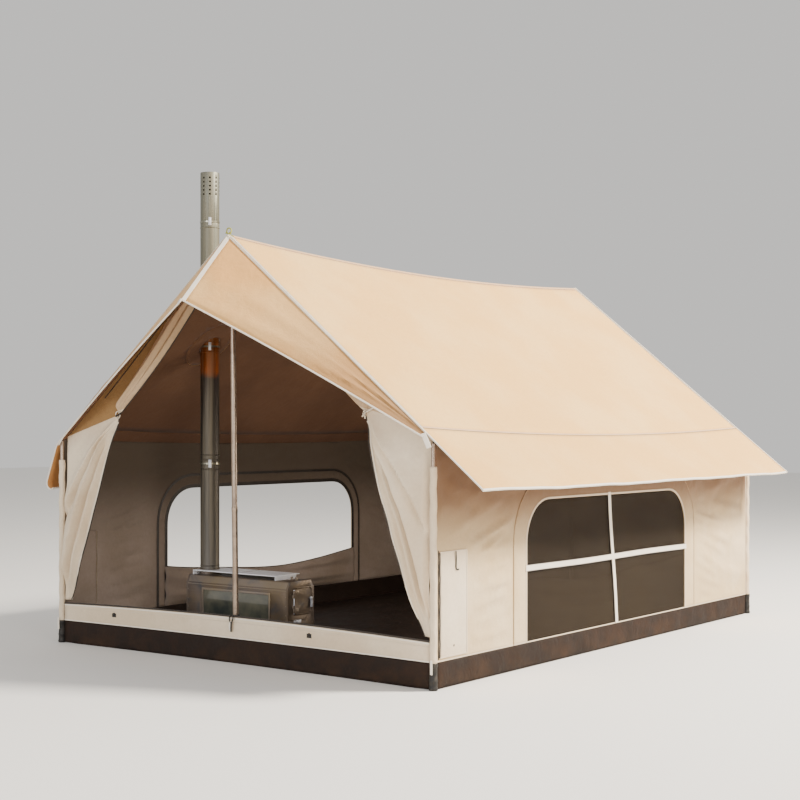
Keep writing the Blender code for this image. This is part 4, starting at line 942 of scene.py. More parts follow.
for side, word in ((1, "right"), (-1, "left")):
    along = [mix(FRONT, REAR, v) for v in shares(60)]
    seam = [slope_point(side, ROOF_RUN - 0.004, y, 0.0012) for y in along]
    tape(f"eave_seam_{word}", (0.012, 0.0016), seam, roof_up(side), SAND_TAPE, "roof_canvas")
    thread = [slope_point(side, ROOF_RUN + 0.003, y, 0.0014) for y in along]
    cord(f"eave_thread_{word}", (0.0012, 6), thread, roof_up(side), DARK_ZIP, "black_webbing")
    hem_run = ROOF_RUN + WING_LENGTH - (0.004 if side > 0 else 0.0)
    hem = [slope_point(side, hem_run, y, wing_lift(side, hem_run, y)) for y in along]
    if side > 0:  # held out straight: a flat binding with square edges
        hem = sweep([(0.006, -0.003), (0.006, 0.003), (-0.006, 0.003), (-0.006, -0.003)], hem, roof_up(1))
    else:  # curled in: a round roll
        hem = sweep(round_section(0.004, 8), hem, (0, 0, 1))
    piece(f"wing_hem_{word}", hem, WHITE_BINDING, "roof_canvas")
    runs = [ROOF_RUN * step / 24 for step in range(25)]
    wing_runs = [ROOF_RUN + WING_LENGTH * step / 40 for step in range(1, 41)]
    for end, y, inward in (("front", FRONT, 1), ("rear", REAR, -1)):
        out, here = (0, -inward, 0), f"{end}_{word}"
        line = [slope_point(side, run, y, 0.0030) for run in runs + wing_runs]
        cord(f"roof_piping_{here}", (0.0042, 10), line, out, WHITE_BINDING, "roof_canvas")
        # Between the cords, a dark tape of painted shadow for the gap between them.
        line = [slope_point(side, run, y + inward * 0.008, 0.0016) for run in runs]
        tape(f"roof_edge_painted_shadow_line_{here}", (0.005, 0.0014), line, roof_up(side), DARK_ZIP, "black_webbing")
        line = [slope_point(side, run, y + inward * 0.0135, 0.0022) for run in runs]
        cord(f"roof_inner_piping_{here}", (0.0028, 8), line, out, CREAM_CORD, "roof_canvas")
tell("seams and edges")

# %% [markdown]
# ## The beak
# Two triangles of roof canvas reach forward over the door and meet in a ridge that slopes down to a tip. The
# pull of the guy line at the tip draws soft folds along them, nearly parallel to the hem.

# %% Make the beak
BEAK_SEAM = FRONT - 0.0018
BEAK_TIP = Vector((0, BEAK_SEAM - 0.31, RIDGE_HEIGHT - 0.333))
BEAK_CORNER_REACH = HALF_WIDTH - 0.035
BEAK_CORNER = Vector((BEAK_CORNER_REACH, BEAK_SEAM, roof_height(BEAK_CORNER_REACH, FRONT)))
BEAK_HEM_CORNER = BEAK_CORNER + Vector((0, -0.016, -0.016))
BEAK_OUT = Vector((0.50, -0.55, 0.67)).normalized()
BEAK_FOLDS = [
    ((0.06, 0.95), (0.52, 0.62), 0.042, 0.0075),
    ((0.18, 0.95), (0.72, 0.55), 0.042, 0.0080),
    ((0.34, 0.98), (0.90, 0.52), 0.046, 0.0085),
    ((0.40, 0.62), (0.94, 0.28), 0.048, 0.0070),
    ((0.10, 0.55), (0.60, 0.30), 0.060, 0.0045),
    ((0.03, 0.20), (0.10, 0.90), 0.030, 0.0040),
]


def beak_point(side, u, v, lift=0.0):
    """u runs from the ridge to the corner, and v from the roof's edge to the hem."""
    edge = Vector((0, BEAK_SEAM, RIDGE_HEIGHT)).lerp(BEAK_CORNER, u)
    hem = BEAK_TIP.lerp(BEAK_HEM_CORNER, u)
    hem.z += 0.012 * math.sin(math.pi * u)
    point = edge.lerp(hem, v)
    swell = folds_at(u, v, BEAK_FOLDS) + rumple(u, v, 0.3, 0.4, 0.004, 5.0)
    swell *= smooth(v / 0.08) * smooth((1 - u) / 0.06) * smooth((1 - v) / 0.1) * smooth(u / 0.03)
    point += BEAK_OUT * (swell + lift)
    point.x = max(point.x, 0.0) + 0.0004
    return Vector((side * point.x, point.y, point.z))


for side, word in ((1, "right"), (-1, "left")):
    shape = grid(40, 14, lambda u, v, side=side: beak_point(side, u, v), (1.3, 0.45))
    aim(shape, (side * 0.5, -0.5, 0.7))
    beak = cloth(f"beak_cloth_{word}", shape, BEAK_PAINTED_SHADE_CANVAS, BEAK_UNDERSIDE_PAINTED_GLOW, "roof_canvas", [f"beak_{word}"])
    hem = [beak_point(side, u, 1.0, 0.001) for u in shares(40)]
    cord(f"beak_hem_{word}", (0.0042, 10), hem, (0, 0, 1), WHITE_BINDING, "roof_canvas")
    top = [beak_point(side, u, 0.02, 0.003) for u in shares(40)]
    cord(f"beak_piping_{word}", (0.0036, 8), top, (0, -1, 0), CREAM_CORD, "roof_canvas")
    start = beak_point(side, 0.99, 0.5, 0.004)
    end = start + Vector((side * 0.040, -0.012, -0.062))
    tail, out = [start, (start + end) / 2, end], (side * 0.5, -0.8, 0.3)
    tape(f"beak_corner_tab_{word}", (0.022, 0.003), tail, out, WHITE_BINDING, "roof_canvas")

centre = straight((0, BEAK_SEAM, RIDGE_HEIGHT), BEAK_TIP, 12)
for point in centre:
    point.z += 0.0012
centre_half = [(0.016, -0.0085), (0.016, -0.0060)]
centre_section = centre_half + [(0, 0.0035)] + [(-x, z) for x, z in centre_half[::-1]] + [(0, 0.0010)]
piece("beak_centre_tape", sweep(centre_section, centre, (0, 0, 1)), WHITE_BINDING, "roof_canvas")
tell("beak")

# %% [markdown]
# ## Side walls
# A side wall is one flat cut with a window that is open at its foot and a port near the door pole. It hangs
# from the wing and is held at the poles, so its wrinkles run along the tent between the poles and the
# window's stiff facing.

# %% Curves of the side walls
WALL_FOOT = TUB_HEIGHT + 0.0003
WINDOW_MIDDLE, WINDOW_HALF, WINDOW_TOP, WINDOW_CORNER = FRONT + 1.60, 0.84, 0.785, 0.20
PORT_LOW, PORT_HIGH = (FRONT + 0.04, 0.130), (FRONT + 0.256, 0.592)
SLEEVE_TOP, SLEEVE_RADIUS = 0.96, 0.0150
SHELL_MIDDLE = 0.0015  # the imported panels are 3 mm thick, and the cloth hangs at their middle
SHELL_RISE = SHELL_MIDDLE / math.cos(SLOPE_ANGLE)


def wall_top(y):
    run = (HALF_WIDTH - EAVE_REACH) / math.cos(SLOPE_ANGLE)
    sag = mix(EAVE_SAG, WING_SAG, run / WING_LENGTH)
    return WALL_TOP - sag * sag_share(y) - SHELL_RISE - 0.0012


def arch(offset, steps=10, foot=None):
    """The window's outline, offset outwards, from its front foot over the top to its rear foot."""
    foot = WALL_FOOT if foot is None else foot
    low, high = WINDOW_MIDDLE - WINDOW_HALF - offset, WINDOW_MIDDLE + WINDOW_HALF + offset
    top, radius = WINDOW_TOP + offset, WINDOW_CORNER + offset
    points = [(low, foot)]
    for centre, start in ((low + radius, math.pi), (high - radius, math.pi / 2)):
        for step in range(steps + 1):
            turn = start - math.pi / 2 * step / steps
            points.append((centre + radius * math.cos(turn), top - radius + radius * math.sin(turn)))
    return points + [(high, foot)]


def window_distance(y, z):
    """Distance outside the window's outline."""
    across = abs(y - WINDOW_MIDDLE) - (WINDOW_HALF - WINDOW_CORNER)
    up = z - (WINDOW_TOP - WINDOW_CORNER)
    outside = math.hypot(max(across, 0), max(up, 0))
    return outside + min(max(across, up), 0) - WINDOW_CORNER


def port_distance(y, z):
    middle = (PORT_LOW[0] + PORT_HIGH[0]) / 2
    across = abs(y - middle) - (PORT_HIGH[0] - PORT_LOW[0]) / 2
    up = abs(z - (PORT_LOW[1] + PORT_HIGH[1]) / 2) - (PORT_HIGH[1] - PORT_LOW[1]) / 2
    return math.hypot(max(across, 0), max(up, 0)) + min(max(across, up), 0)


print("wall height at mid length:", round(wall_top(0), 3), "m")

# %% Wrinkles of the side walls
# Wrinkles as (start, end, width, depth) in metres along the tent and up the wall.
WALL_FOLDS = [
    ((-1.37, 0.600), (-0.99, 0.715), 0.016, 0.0140),
    ((-1.36, 0.560), (-1.02, 0.585), 0.020, 0.0080),
    ((-1.35, 0.470), (-1.02, 0.520), 0.018, 0.0090),
    ((-1.36, 0.400), (-1.03, 0.430), 0.016, 0.0080),
    ((-1.34, 0.330), (-1.02, 0.375), 0.020, 0.0090),
    ((-1.36, 0.250), (-1.03, 0.290), 0.016, 0.0070),
    ((-1.35, 0.180), (-1.03, 0.205), 0.018, 0.0070),
    ((-1.60, 0.900), (-1.10, 0.780), 0.040, 0.0120),
    ((0.93, 0.640), (1.30, 0.560), 0.018, 0.0120),
    ((0.94, 0.585), (1.45, 0.430), 0.020, 0.0110),
    ((0.93, 0.520), (1.35, 0.380), 0.018, 0.0100),
    ((0.93, 0.440), (1.30, 0.300), 0.018, 0.0090),
    ((0.93, 0.370), (1.25, 0.250), 0.018, 0.0090),
    ((0.93, 0.290), (1.30, 0.200), 0.018, 0.0080),
    ((0.93, 0.215), (1.20, 0.165), 0.016, 0.0070),
    ((1.60, 0.900), (1.05, 0.760), 0.035, 0.0120),
    ((-0.60, 0.960), (0.40, 0.945), 0.030, 0.0080),
    ((-1.58, 0.640), (-1.12, 0.800), 0.030, 0.0090),
    ((-1.36, 0.520), (-1.06, 0.660), 0.014, 0.0080),
    ((-1.33, 0.300), (-1.05, 0.480), 0.022, 0.0070),
    ((-1.30, 0.840), (-0.60, 0.880), 0.022, 0.0080),
    ((-0.20, 0.880), (0.60, 0.905), 0.022, 0.0070),
    ((0.70, 0.890), (1.40, 0.850), 0.025, 0.0080),
    ((1.10, 0.700), (1.62, 0.620), 0.030, 0.0100),
    ((1.15, 0.470), (1.60, 0.520), 0.030, 0.0090),
    ((1.10, 0.330), (1.60, 0.240), 0.030, 0.0090),
]


def wall_swell(y, z):
    from_pole = min(y - FRONT, REAR - y)
    held = smooth((from_pole - 0.016) / 0.05) * smooth((z - WALL_FOOT) / 0.03)
    held *= smooth((window_distance(y, z) - 0.118) / 0.05) * smooth((port_distance(y, z) - 0.01) / 0.05)
    held *= smooth((wall_top(y) - z) / 0.06)
    swell = rumple(y, z, 0.30, 0.12, 0.009, 2.0) + rumple(y, z, 0.08, 0.05, 0.004, 12.0)
    return held * (folds_at(y, z, WALL_FOLDS) + swell)


def wall_place(side, lift=0.0, swell=1.0):
    """A function that puts a point (y, z) of a flat cut on a side wall, lift metres outside it."""

    def place(y, z):
        return Vector((side * (HALF_WIDTH - SHELL_MIDDLE + lift + swell * wall_swell(y, z)), y, z))

    return place


def rounded(low, high, radius, steps=4):
    points = []
    corners = (
        (high[0] - radius, high[1] - radius, 0),
        (low[0] + radius, high[1] - radius, 1),
        (low[0] + radius, low[1] + radius, 2),
        (high[0] - radius, low[1] + radius, 3),
    )
    for across, up, quarter in corners:
        for step in range(steps + 1):
            turn = math.pi / 2 * (quarter + step / steps)
            points.append((across + radius * math.cos(turn), up + radius * math.sin(turn)))
    return points


def shrunk(low, high, inset):
    return (low[0] + inset, low[1] + inset), (high[0] - inset, high[1] - inset)


print("wrinkles drawn on a side wall:", len(WALL_FOLDS))

# %% [markdown]
# The wall's outline goes round the window. The sleeves for the corner poles are separate tubes of the same
# canvas, gathered a little where they slide over the poles. Low on the wall is a dark line of thread where
# the tub is sewn on.

# %% Make the side walls


def side_wall(side, word, nodes):
    low, high = FRONT + 0.012, REAR - 0.012
    outer = [(low, WALL_FOOT)] + arch(0.0) + [(high, WALL_FOOT)]
    outer += [(y, wall_top(y)) for y in (mix(high, low, share) for share in shares(24))]
    port = rounded(*shrunk(PORT_LOW, PORT_HIGH, 0.018), 0.012)
    shape = aim(cut_cloth(outer, [port], 0.013, wall_place(side)), (side, 0, 0))
    wall = cloth(f"wall_cloth_{word}", shape, SHADED_CANVAS, WALL_INSIDE_PAINTED_SHADE, "wall_canvas", nodes)
    for end, y, way in (("front", FRONT, 1), ("rear", REAR, -1)):

        def sleeve_point(u, v, y=y, way=way):
            turn = 2 * math.pi * u
            uneven = rumple(v, u, 0.03, 1.0, 0.0016, side + y)
            gather = 0.0014 * math.sin(v * 46 + 2 * math.cos(turn)) + uneven
            radius = SLEEVE_RADIUS + gather * smooth((1 - v) / 0.03)
            z = mix(WALL_FOOT, SLEEVE_TOP, v)
            return Vector((side * HALF_WIDTH + radius * math.cos(turn), y + radius * math.sin(turn), z))

        tube = grid(20, 90, sleeve_point, (0.1, SLEEVE_TOP - WALL_FOOT))
        bmesh.ops.remove_doubles(tube, verts=tube.verts, dist=MERGE)
        bmesh.ops.recalc_face_normals(tube, faces=tube.faces)
        sleeve = piece(f"pole_sleeve_{end}_{word}", tube, WALL_CANVAS, "wall_canvas", wall=0.0015)
        seam_x, seam_y = side * (HALF_WIDTH + 0.0005), y + way * 0.0185
        seam = straight((seam_x, seam_y, WALL_FOOT), (seam_x, seam_y, SLEEVE_TOP), 30)
        tape(f"sleeve_seam_{end}_{word}", (0.006, 0.0012), seam, (side, 0, 0), ECRU_TAPE, "wall_canvas")
    foot_x, foot_z = side * HALF_WIDTH, WALL_FOOT + 0.002
    foot = straight((foot_x, FRONT + 0.02, foot_z), (foot_x, REAR - 0.02, foot_z), 60)
    tape(f"wall_foot_seam_{word}", (0.006, 0.0018), foot, (side, 0, 0), ECRU_TAPE, "wall_canvas")
    return wall


side_wall(1, "right", ("wall_right",))
side_wall(-1, "left", tuple(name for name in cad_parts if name.startswith("wall_left")))
tell("side walls and sleeves")

# %% [markdown]
# ### Window facings, zips and bars
# A second layer of canvas faces the wall round each window, up to a row of stitches 119 mm from the opening.
# The brown of that seam's tape is painted shadow of the crease along it.
# Inside, a narrower band carries two dark zips: one for the mesh and one for the cover. The right window also
# has its bars, two cream tapes with dark edges that cross in front of the mesh.

# %% Make the facings and zips


def arch_line(side, offset, lift):
    return spaced([wall_place(side, lift, 0.0)(y, z) for y, z in arch(offset)], 0.03)


def facing(name, side, inner, outer, lift, finish):
    outline = arch(outer, 12) + arch(inner, 12)[::-1]

    def pucker(y, z):
        rise = abs(rumple(y, z, 0.035, 0.035, 0.0035, 14.0)) * smooth((z - WALL_FOOT) / 0.02)
        off = window_distance(y, z)  # flat again where the zips and stitches run
        rise *= smooth((off - inner - 0.016) / 0.012) * smooth((outer - 0.012 - off) / 0.012)
        return wall_place(side, lift * (1 + rise / 0.0022), 0.0)(y, z)

    shape = aim(cut_cloth(outline, [], 0.016, pucker), (side, 0, 0))
    return piece(name, shape, finish, "wall_canvas", wall=0.0012)


for side, word in ((1, "right"), (-1, "left")):
    outside = facing(f"window_facing_{word}", side, 0.003, 0.120, 0.0022, SHADED_CANVAS)
    inside = facing(f"window_inner_facing_{word}", side, 0.004, 0.078, -0.0028, WALL_INSIDE_PAINTED_SHADE)
    for name, offset, lift, section, way, finish, slot in (
        ("facing_seam", 0.119, 0.0034, (0.0034, 0.0012), side, SEAM_PAINTED_SHADOW, "wall_canvas"),
        ("window_binding", 0.006, 0.0026, (0.010, 0.0022), side, ECRU_TAPE, "wall_canvas"),
        ("mesh_zip", 0.009, -0.0036, (0.022, 0.0018), -side, DARK_ZIP, "black_webbing"),
        ("cover_zip", 0.074, -0.0036, (0.016, 0.0018), -side, DARK_ZIP, "black_webbing"),
    ):
        tape(f"{name}_{word}", section, arch_line(side, offset, lift), (way, 0, 0), finish, slot)
tell("facings")

# %% Make the window bars
BAR_HEIGHT, BAR_LEAN = 0.465, 0.040


def bar_point(share, wave=0.0):
    z = mix(WALL_FOOT + 0.002, WINDOW_TOP + 0.014, share)
    y = WINDOW_MIDDLE + BAR_LEAN * mix(1, -1, share) + wave * math.sin(2 * math.pi * share)
    return Vector((HALF_WIDTH + 0.0006, y, z))


upright = spaced([bar_point(share, 0.004) for share in shares(30)], 0.025)
low_y, high_y = WINDOW_MIDDLE - WINDOW_HALF - 0.014, WINDOW_MIDDLE + WINDOW_HALF + 0.014
cross = straight((HALF_WIDTH + 0.0010, low_y, BAR_HEIGHT), (HALF_WIDTH + 0.0010, high_y, BAR_HEIGHT), 50)
for point in cross:
    point.z += 0.002 * math.sin(point.y * 5.0)
for name, line, lift in (("upright", upright, 0.0), ("cross", cross, 0.0006)):
    tape(f"window_bar_{name}_edge", (0.033, 0.0014), line, (1, 0, 0), DARK_ZIP, "black_webbing")
    raised = [point + Vector((lift, 0, 0)) for point in line]
    section, stands_for = (0.026, 0.0040, 0.4), ("window_bars_right",) if name == "cross" else ()
    bar = sweep(tape_section(*section), raised, (1, 0, 0))
    piece(f"window_bar_{name}", bar, WHITE_BINDING, "wall_canvas", stands_for=stands_for)
tell("window bars")

# %% [markdown]
# ### Mesh and covers
# The right window's mesh is zipped in and slack, with a bunch of folds in its top rear corner. Each window's
# inner cover is unzipped and dropped. It hangs in a belly inside the wall and fills the lower half of the
# window.

# %% Make the mesh
MESH_FOLDS = [
    ((0.10, 0.700), (0.60, 0.560), 0.020, 0.0090),
    ((0.30, 0.770), (0.70, 0.620), 0.016, 0.0100),
    ((-0.70, 0.640), (-0.45, 0.500), 0.022, 0.0090),
    ((-0.60, 0.740), (-0.10, 0.520), 0.020, 0.0080),
    ((-0.75, 0.330), (-0.30, 0.220), 0.024, 0.0080),
    ((0.10, 0.420), (0.74, 0.330), 0.022, 0.0080),
    ((0.45, 0.775), (0.74, 0.680), 0.012, 0.0080),
    ((0.58, 0.770), (0.77, 0.600), 0.012, 0.0080),
    ((0.70, 0.740), (0.77, 0.480), 0.014, 0.0070),
    ((-0.85, 0.600), (-0.20, 0.700), 0.030, 0.0050),
    ((-0.80, 0.400), (-0.10, 0.360), 0.030, 0.0050),
    ((0.00, 0.300), (0.70, 0.260), 0.030, 0.0050),
]


def mesh_place(y, z):
    inside = clamp(-window_distance(y, z) / 0.04)
    inside *= smooth((z - WALL_FOOT) / 0.05)
    slack = folds_at(y, z, MESH_FOLDS) + rumple(y, z, 0.30, 0.20, 0.006, 4.0) + 0.003
    return Vector((HALF_WIDTH - 0.0022 - inside * slack, y, z))


mesh_outline = arch(0.002, foot=WALL_FOOT + 0.001)
net = aim(cut_cloth(mesh_outline, [], 0.014, mesh_place), (1, 0, 0))
net = piece(
    "window_net_right", net, MESH_FABRIC, "mesh_fabric", stands_for=("window_mesh_right",), wall=0.0008
)
tell("mesh")

# %% Make the dropped covers


def cover_cloth(side, word, top, seed):
    """A dropped window cover: its foot is sewn to the tub, its ends are zipped, and its top edge sags."""

    def place(u, v):
        reach = WINDOW_HALF + 0.02
        y = mix(WINDOW_MIDDLE - reach, WINDOW_MIDDLE + reach, u)
        edge = top - 0.055 * (1 - (2 * u - 1) ** 2)
        z = mix(TUB_HEIGHT + 0.0016, edge, v)
        ends = smooth(4 * u) * smooth(4 * (1 - u))
        belly = 0.045 * math.sin(math.pi * v * 0.75) * ends
        wave = (1 - math.cos(2 * math.pi * (2 * v + u))) / 2
        crease = 0.5 + 0.5 * math.sin(2 * math.pi * (4.3 * v + 1.7 * u * u + 0.25 * math.sin(5 * u)))
        uneven = rumple(u, v, 0.16, 0.22, 0.010, seed)
        free = smooth(3 * v) * smooth(6 * u) * smooth(6 * (1 - u))
        slack = max(0.010 * smooth(3 * v) * wave + free * (0.004 * crease + uneven), -0.002)
        z += 0.006 * math.sin(9 * u + seed) * v * ends
        behind_net = 0.011 * smooth(28 * u) * smooth(28 * (1 - u)) * smooth(8 * v)
        return Vector((side * (HALF_WIDTH - 0.0060 - behind_net - belly - slack), y, z))

    shape = aim(grid(72, 30, place, (1.72, 0.32)), (side, 0, 0))
    # The left cover is seen from inside, so both its sides take the inside's painted shade.
    finish = WALL_CANVAS if side > 0 else WALL_INSIDE_PAINTED_SHADE
    cover = cloth(f"cover_cloth_{word}", shape, finish, WALL_INSIDE_PAINTED_SHADE, "wall_canvas", [f"window_cover_{word}"])
    hem = [place(u, 1.0) for u in shares(60)]
    cord(f"cover_hem_{word}", (0.0030, 8), hem, (0, 0, 1), DARK_ZIP, "black_webbing")


cover_cloth(1, "right", 0.42, 1.0)
cover_cloth(-1, "left", 0.345, 6.0)
tell("covers")

# %% [markdown]
# ### Port flaps
# A flap covers each port. It is sewn to the wall along its rear edge, which is its hinge, and zipped along
# the edge by the pole. The flap, its zip, its hook strap and its snap all ride on the flap's own body.

# %% Make the port flaps
for side, word in ((1, "right"), (-1, "left")):
    body = f"port_flap_{word}"
    low, high = PORT_LOW, PORT_HIGH

    def flap_place(y, z, side=side):
        inside = clamp(-port_distance(y, z) / 0.05)
        swell = inside * (0.004 + rumple(y, z, 0.10, 0.16, 0.004, 8.0))
        return Vector((side * (HALF_WIDTH + 0.0018 + swell), y, z))

    shape = aim(cut_cloth(rounded(low, high, 0.012), [], 0.022, flap_place), (side, 0, 0))
    flap = cloth(f"port_cloth_{word}", shape, WALL_CANVAS, WALL_INSIDE_PAINTED_SHADE, "wall_canvas", [body], body)
    near_y, far_y, low_z, high_z = low[0] + 0.004, high[0] - 0.006, low[1] + 0.004, high[1] - 0.004
    corners = [(far_y, high_z), (near_y, high_z), (near_y, low_z), (far_y, low_z)]
    for name, start, end, finish, width in (
        ("flap_zip", 1, 2, DARK_ZIP, 0.009),
        ("flap_top", 0, 1, ECRU_TAPE, 0.007),
        ("flap_foot", 2, 3, ECRU_TAPE, 0.007),
        ("flap_hinge", 3, 0, ECRU_TAPE, 0.010),
    ):
        face_x = side * (HALF_WIDTH + 0.0031)
        line = straight((face_x, *corners[start]), (face_x, *corners[end]), 16)
        if name == "flap_zip":
            for index, point in enumerate(line):
                point.y += 0.0012 * math.sin(index * 1.9)
        slot = "black_webbing" if finish is DARK_ZIP else "wall_canvas"
        tape(f"{name}_{word}", (width, 0.0022), line, (side, 0, 0), finish, slot, body)
    strap = [(0.118, 0.588), (0.120, 0.550), (0.119, 0.515), (0.126, 0.508), (0.140, 0.507)]
    strap = [(side * (HALF_WIDTH + 0.009), low[0] + across, up) for across, up in strap]
    strap = spaced(catmull(strap, 6), 0.004)
    tape(f"flap_strap_{word}", (0.007, 0.0022), strap, (side, 0, 0), BLACK_WEBBING, "black_webbing", body)
    snap = turned([(0, 0), (0.006, 0), (0.006, 0.0016), (0.0045, 0.003), (0, 0.0034)], 20)
    moved(
        snap,
        (side * (HALF_WIDTH + 0.0050), low[0] + 0.105, 0.178),
        Matrix.Rotation(side * math.pi / 2, 4, "Y"),
    )
    piece(f"flap_snap_{word}", snap, BLACK_WEBBING, "black_webbing", body)
    zip_x, zip_y = side * (HALF_WIDTH + 0.0004), low[0] - 0.0035
    zip_line = straight((zip_x, zip_y, low[1] - 0.004), (zip_x, zip_y, high[1] + 0.006), 24)
    for index, point in enumerate(zip_line):
        point.y += 0.0010 * math.sin(index * 2.3)
    tape(f"port_zip_{word}", (0.006, 0.0016), zip_line, (side, 0, 0), DARK_ZIP, "black_webbing")
tell("port flaps")

# %% [markdown]
# ## Rear wall, tub and floor
# The rear wall is a plain gable with a centre seam. Below every wall the tub is a coated brown fabric that
# bulges a little over the ground. At the door it is topped by a canvas sill with a bound upper edge and two
# snaps.

# %% Make the rear wall
REAR_EDGE = HALF_WIDTH - 0.0165


def rear_top(x):
    return roof_height(abs(x), REAR) - SHELL_RISE - 0.0012


REAR_FOLDS = [
    ((-1.12, 0.95), (-0.50, 0.70), 0.05, 0.008),
    ((1.12, 0.95), (0.50, 0.70), 0.05, 0.008),
    ((-1.10, 0.20), (-0.60, 0.45), 0.05, 0.006),
    ((1.10, 0.20), (0.60, 0.45), 0.05, 0.006),
    ((0.06, 1.90), (0.40, 1.20), 0.04, 0.006),
    ((-0.06, 1.90), (-0.40, 1.20), 0.04, 0.006),
    ((-0.40, 0.16), (0.50, 0.20), 0.04, 0.005),
]


def rear_place(x, z):
    held = smooth((REAR_EDGE - abs(x)) / 0.06) * smooth((z - WALL_FOOT) / 0.04)
    held *= smooth((rear_top(x) - z) / 0.06)
    swell = held * (folds_at(x, z, REAR_FOLDS) + rumple(x, z, 0.35, 0.25, 0.006, 11.0))
    return Vector((x, REAR - SHELL_MIDDLE + swell, z))


rear_eave = rear_top(REAR_EDGE)
outline = [(-REAR_EDGE, WALL_FOOT), (REAR_EDGE, WALL_FOOT)]
outline += [(REAR_EDGE, rear_eave), (0, rear_top(0)), (-REAR_EDGE, rear_eave)]
shape = aim(cut_cloth(outline, [], 0.045, rear_place), (0, 1, 0))
rear_wall = cloth("wall_cloth_rear", shape, WALL_CANVAS, WALL_INSIDE_PAINTED_SHADE, "wall_canvas", ["wall_rear"])
line = [rear_place(0, mix(WALL_FOOT, rear_top(0) - 0.01, v)) + Vector((0, 0.001, 0)) for v in shares(40)]
tape("rear_centre_seam", (0.012, 0.0016), line, (0, 1, 0), ECRU_TAPE, "wall_canvas")
line = straight((-REAR_EDGE, REAR, WALL_FOOT + 0.002), (REAR_EDGE, REAR, WALL_FOOT + 0.002), 40)
tape("wall_foot_seam_rear", (0.006, 0.0018), line, (0, 1, 0), ECRU_TAPE, "wall_canvas")
tell("rear wall")

# %% [markdown]
# The tub's walls are grids whose middle swells out. Their lower edge wanders a few millimetres up and down,
# as it does on grass, but never goes below the ground. Sharp little creases come from a stretched noise.

# %% Curves of the tub
FRONT_BOW = 0.03
TUB_INSET = 0.0203


def front_bow(x):
    return FRONT_BOW * (1 - (x / HALF_WIDTH) ** 2)


def tub_swell(along, v, seed):
    belly = 0.0045 * math.sin(math.pi * v)
    crease = rumple(along, v, 0.10, 0.8, 0.006, seed)
    crease += rumple(along + 0.5 * v, v, 0.05, 0.6, 0.0035, seed + 4)
    return belly + crease * smooth(v / 0.15) * smooth((1 - v) / 0.15)


def tub_height(along, v, seed):
    foot = FLOOR_TOP + 0.0005 + 0.004 * abs(noise.noise(Vector((along * 4.0, seed, 0))))
    return mix(foot, TUB_HEIGHT, v)


def tub_cloth(word, length, place, facing_way):
    """The upstand on one side of the tub. Its canvas is 114 mm high."""
    shape = aim(grid(110, 10, place, (length, 0.114)), facing_way)
    made = cloth(f"tub_cloth_{word}", shape, TUB_FABRIC, FLOOR_FABRIC, "tub_fabric", [f"tub_wall_{word}"])


# %% Make the tub's walls and the sill


def held_ends(u, share):
    """0 at both ends of a band and 1 between them."""
    return smooth(u / share) * smooth((1 - u) / share)


def across_tent(u):
    return mix(-HALF_WIDTH + TUB_INSET, HALF_WIDTH - TUB_INSET, u)


for side, word in ((1, "right"), (-1, "left")):

    def side_tub(u, v, side=side):
        y = mix(FRONT + TUB_INSET, REAR - TUB_INSET, u)
        out = tub_swell(y, v, 21.0 + side) * held_ends(u, 0.02)
        return Vector((side * (HALF_WIDTH - SHELL_MIDDLE + out), y, tub_height(y, v, 2.0 + side)))

    tub_cloth(word, 3.26, side_tub, (side, 0, 0))


def rear_tub(u, v):
    x = across_tent(u)
    return Vector(
        (x, REAR - SHELL_MIDDLE + tub_swell(x, v, 31.0) * held_ends(u, 0.02), tub_height(x, v, 7.0))
    )


def front_tub(u, v):
    x = across_tent(u)
    y = FRONT + front_bow(x) + SHELL_MIDDLE - tub_swell(x, v, 37.0) * held_ends(u, 0.02)
    return Vector((x, y, tub_height(x, v, 9.0)))


SILL_HEIGHT, SILL_RISE = 0.208, 0.016


def sill_point(u, v, lift=0.0):
    x = across_tent(u)
    top = SILL_HEIGHT + SILL_RISE * (1 - (2 * u - 1) ** 2)
    swell = (rumple(x, v, 0.12, 1.2, 0.004, 41.0) + 0.002) * math.sin(math.pi * clamp(v)) * held_ends(u, 0.03)
    return Vector((x, FRONT + front_bow(x) + SHELL_MIDDLE - swell - lift, mix(WALL_FOOT, top, v)))


tub_cloth("rear", 2.36, rear_tub, (0, 1, 0))
tub_cloth("front", 2.36, front_tub, (0, -1, 0))
sill = aim(grid(96, 8, sill_point, (2.36, 0.105)), (0, -1, 0))
sill = cloth("sill_cloth", sill, WALL_CANVAS, WALL_INSIDE_PAINTED_SHADE, "wall_canvas", ["front_sill"])
for name, v, section, finish, slot in (
    ("sill_top_zip", 1.0, (0.009, 0.0022), DARK_ZIP, "black_webbing"),
    ("sill_hem", 0.90, (0.006, 0.0016), WHITE_BINDING, "wall_canvas"),
    ("sill_fold", 0.74, (0.003, 0.0012), ECRU_TAPE, "wall_canvas"),
    ("sill_foot", 0.03, (0.006, 0.0018), WHITE_BINDING, "wall_canvas"),
):
    line = [sill_point(u, v, 0.0012) for u in shares(60)]
    tape(name, section, line, (0, -1, 0), finish, slot)
button_profile = [(0, 0), (0.0075, 0), (0.0075, 0.002), (0.0055, 0.0042), (0.002, 0.005), (0, 0.005)]
for index, u in enumerate((0.155, 0.705)):
    button = turned(button_profile, 24)
    moved(button, sill_point(u, 0.58, 0.001), Matrix.Rotation(math.pi / 2, 4, "X"))
    piece(f"sill_snap_{index}", button, BLACK_RUBBER, "black_rubber")
    patch_line = [sill_point(u + share, 0.52, 0.001) for share in (-0.006, -0.002, 0.002, 0.006)]
    tape(f"sill_patch_{index}", (0.020, 0.0012), patch_line, (0, -1, 0), BLACK_WEBBING, "black_webbing")
tell("tub and sill")

# %% Make the floor and its welts


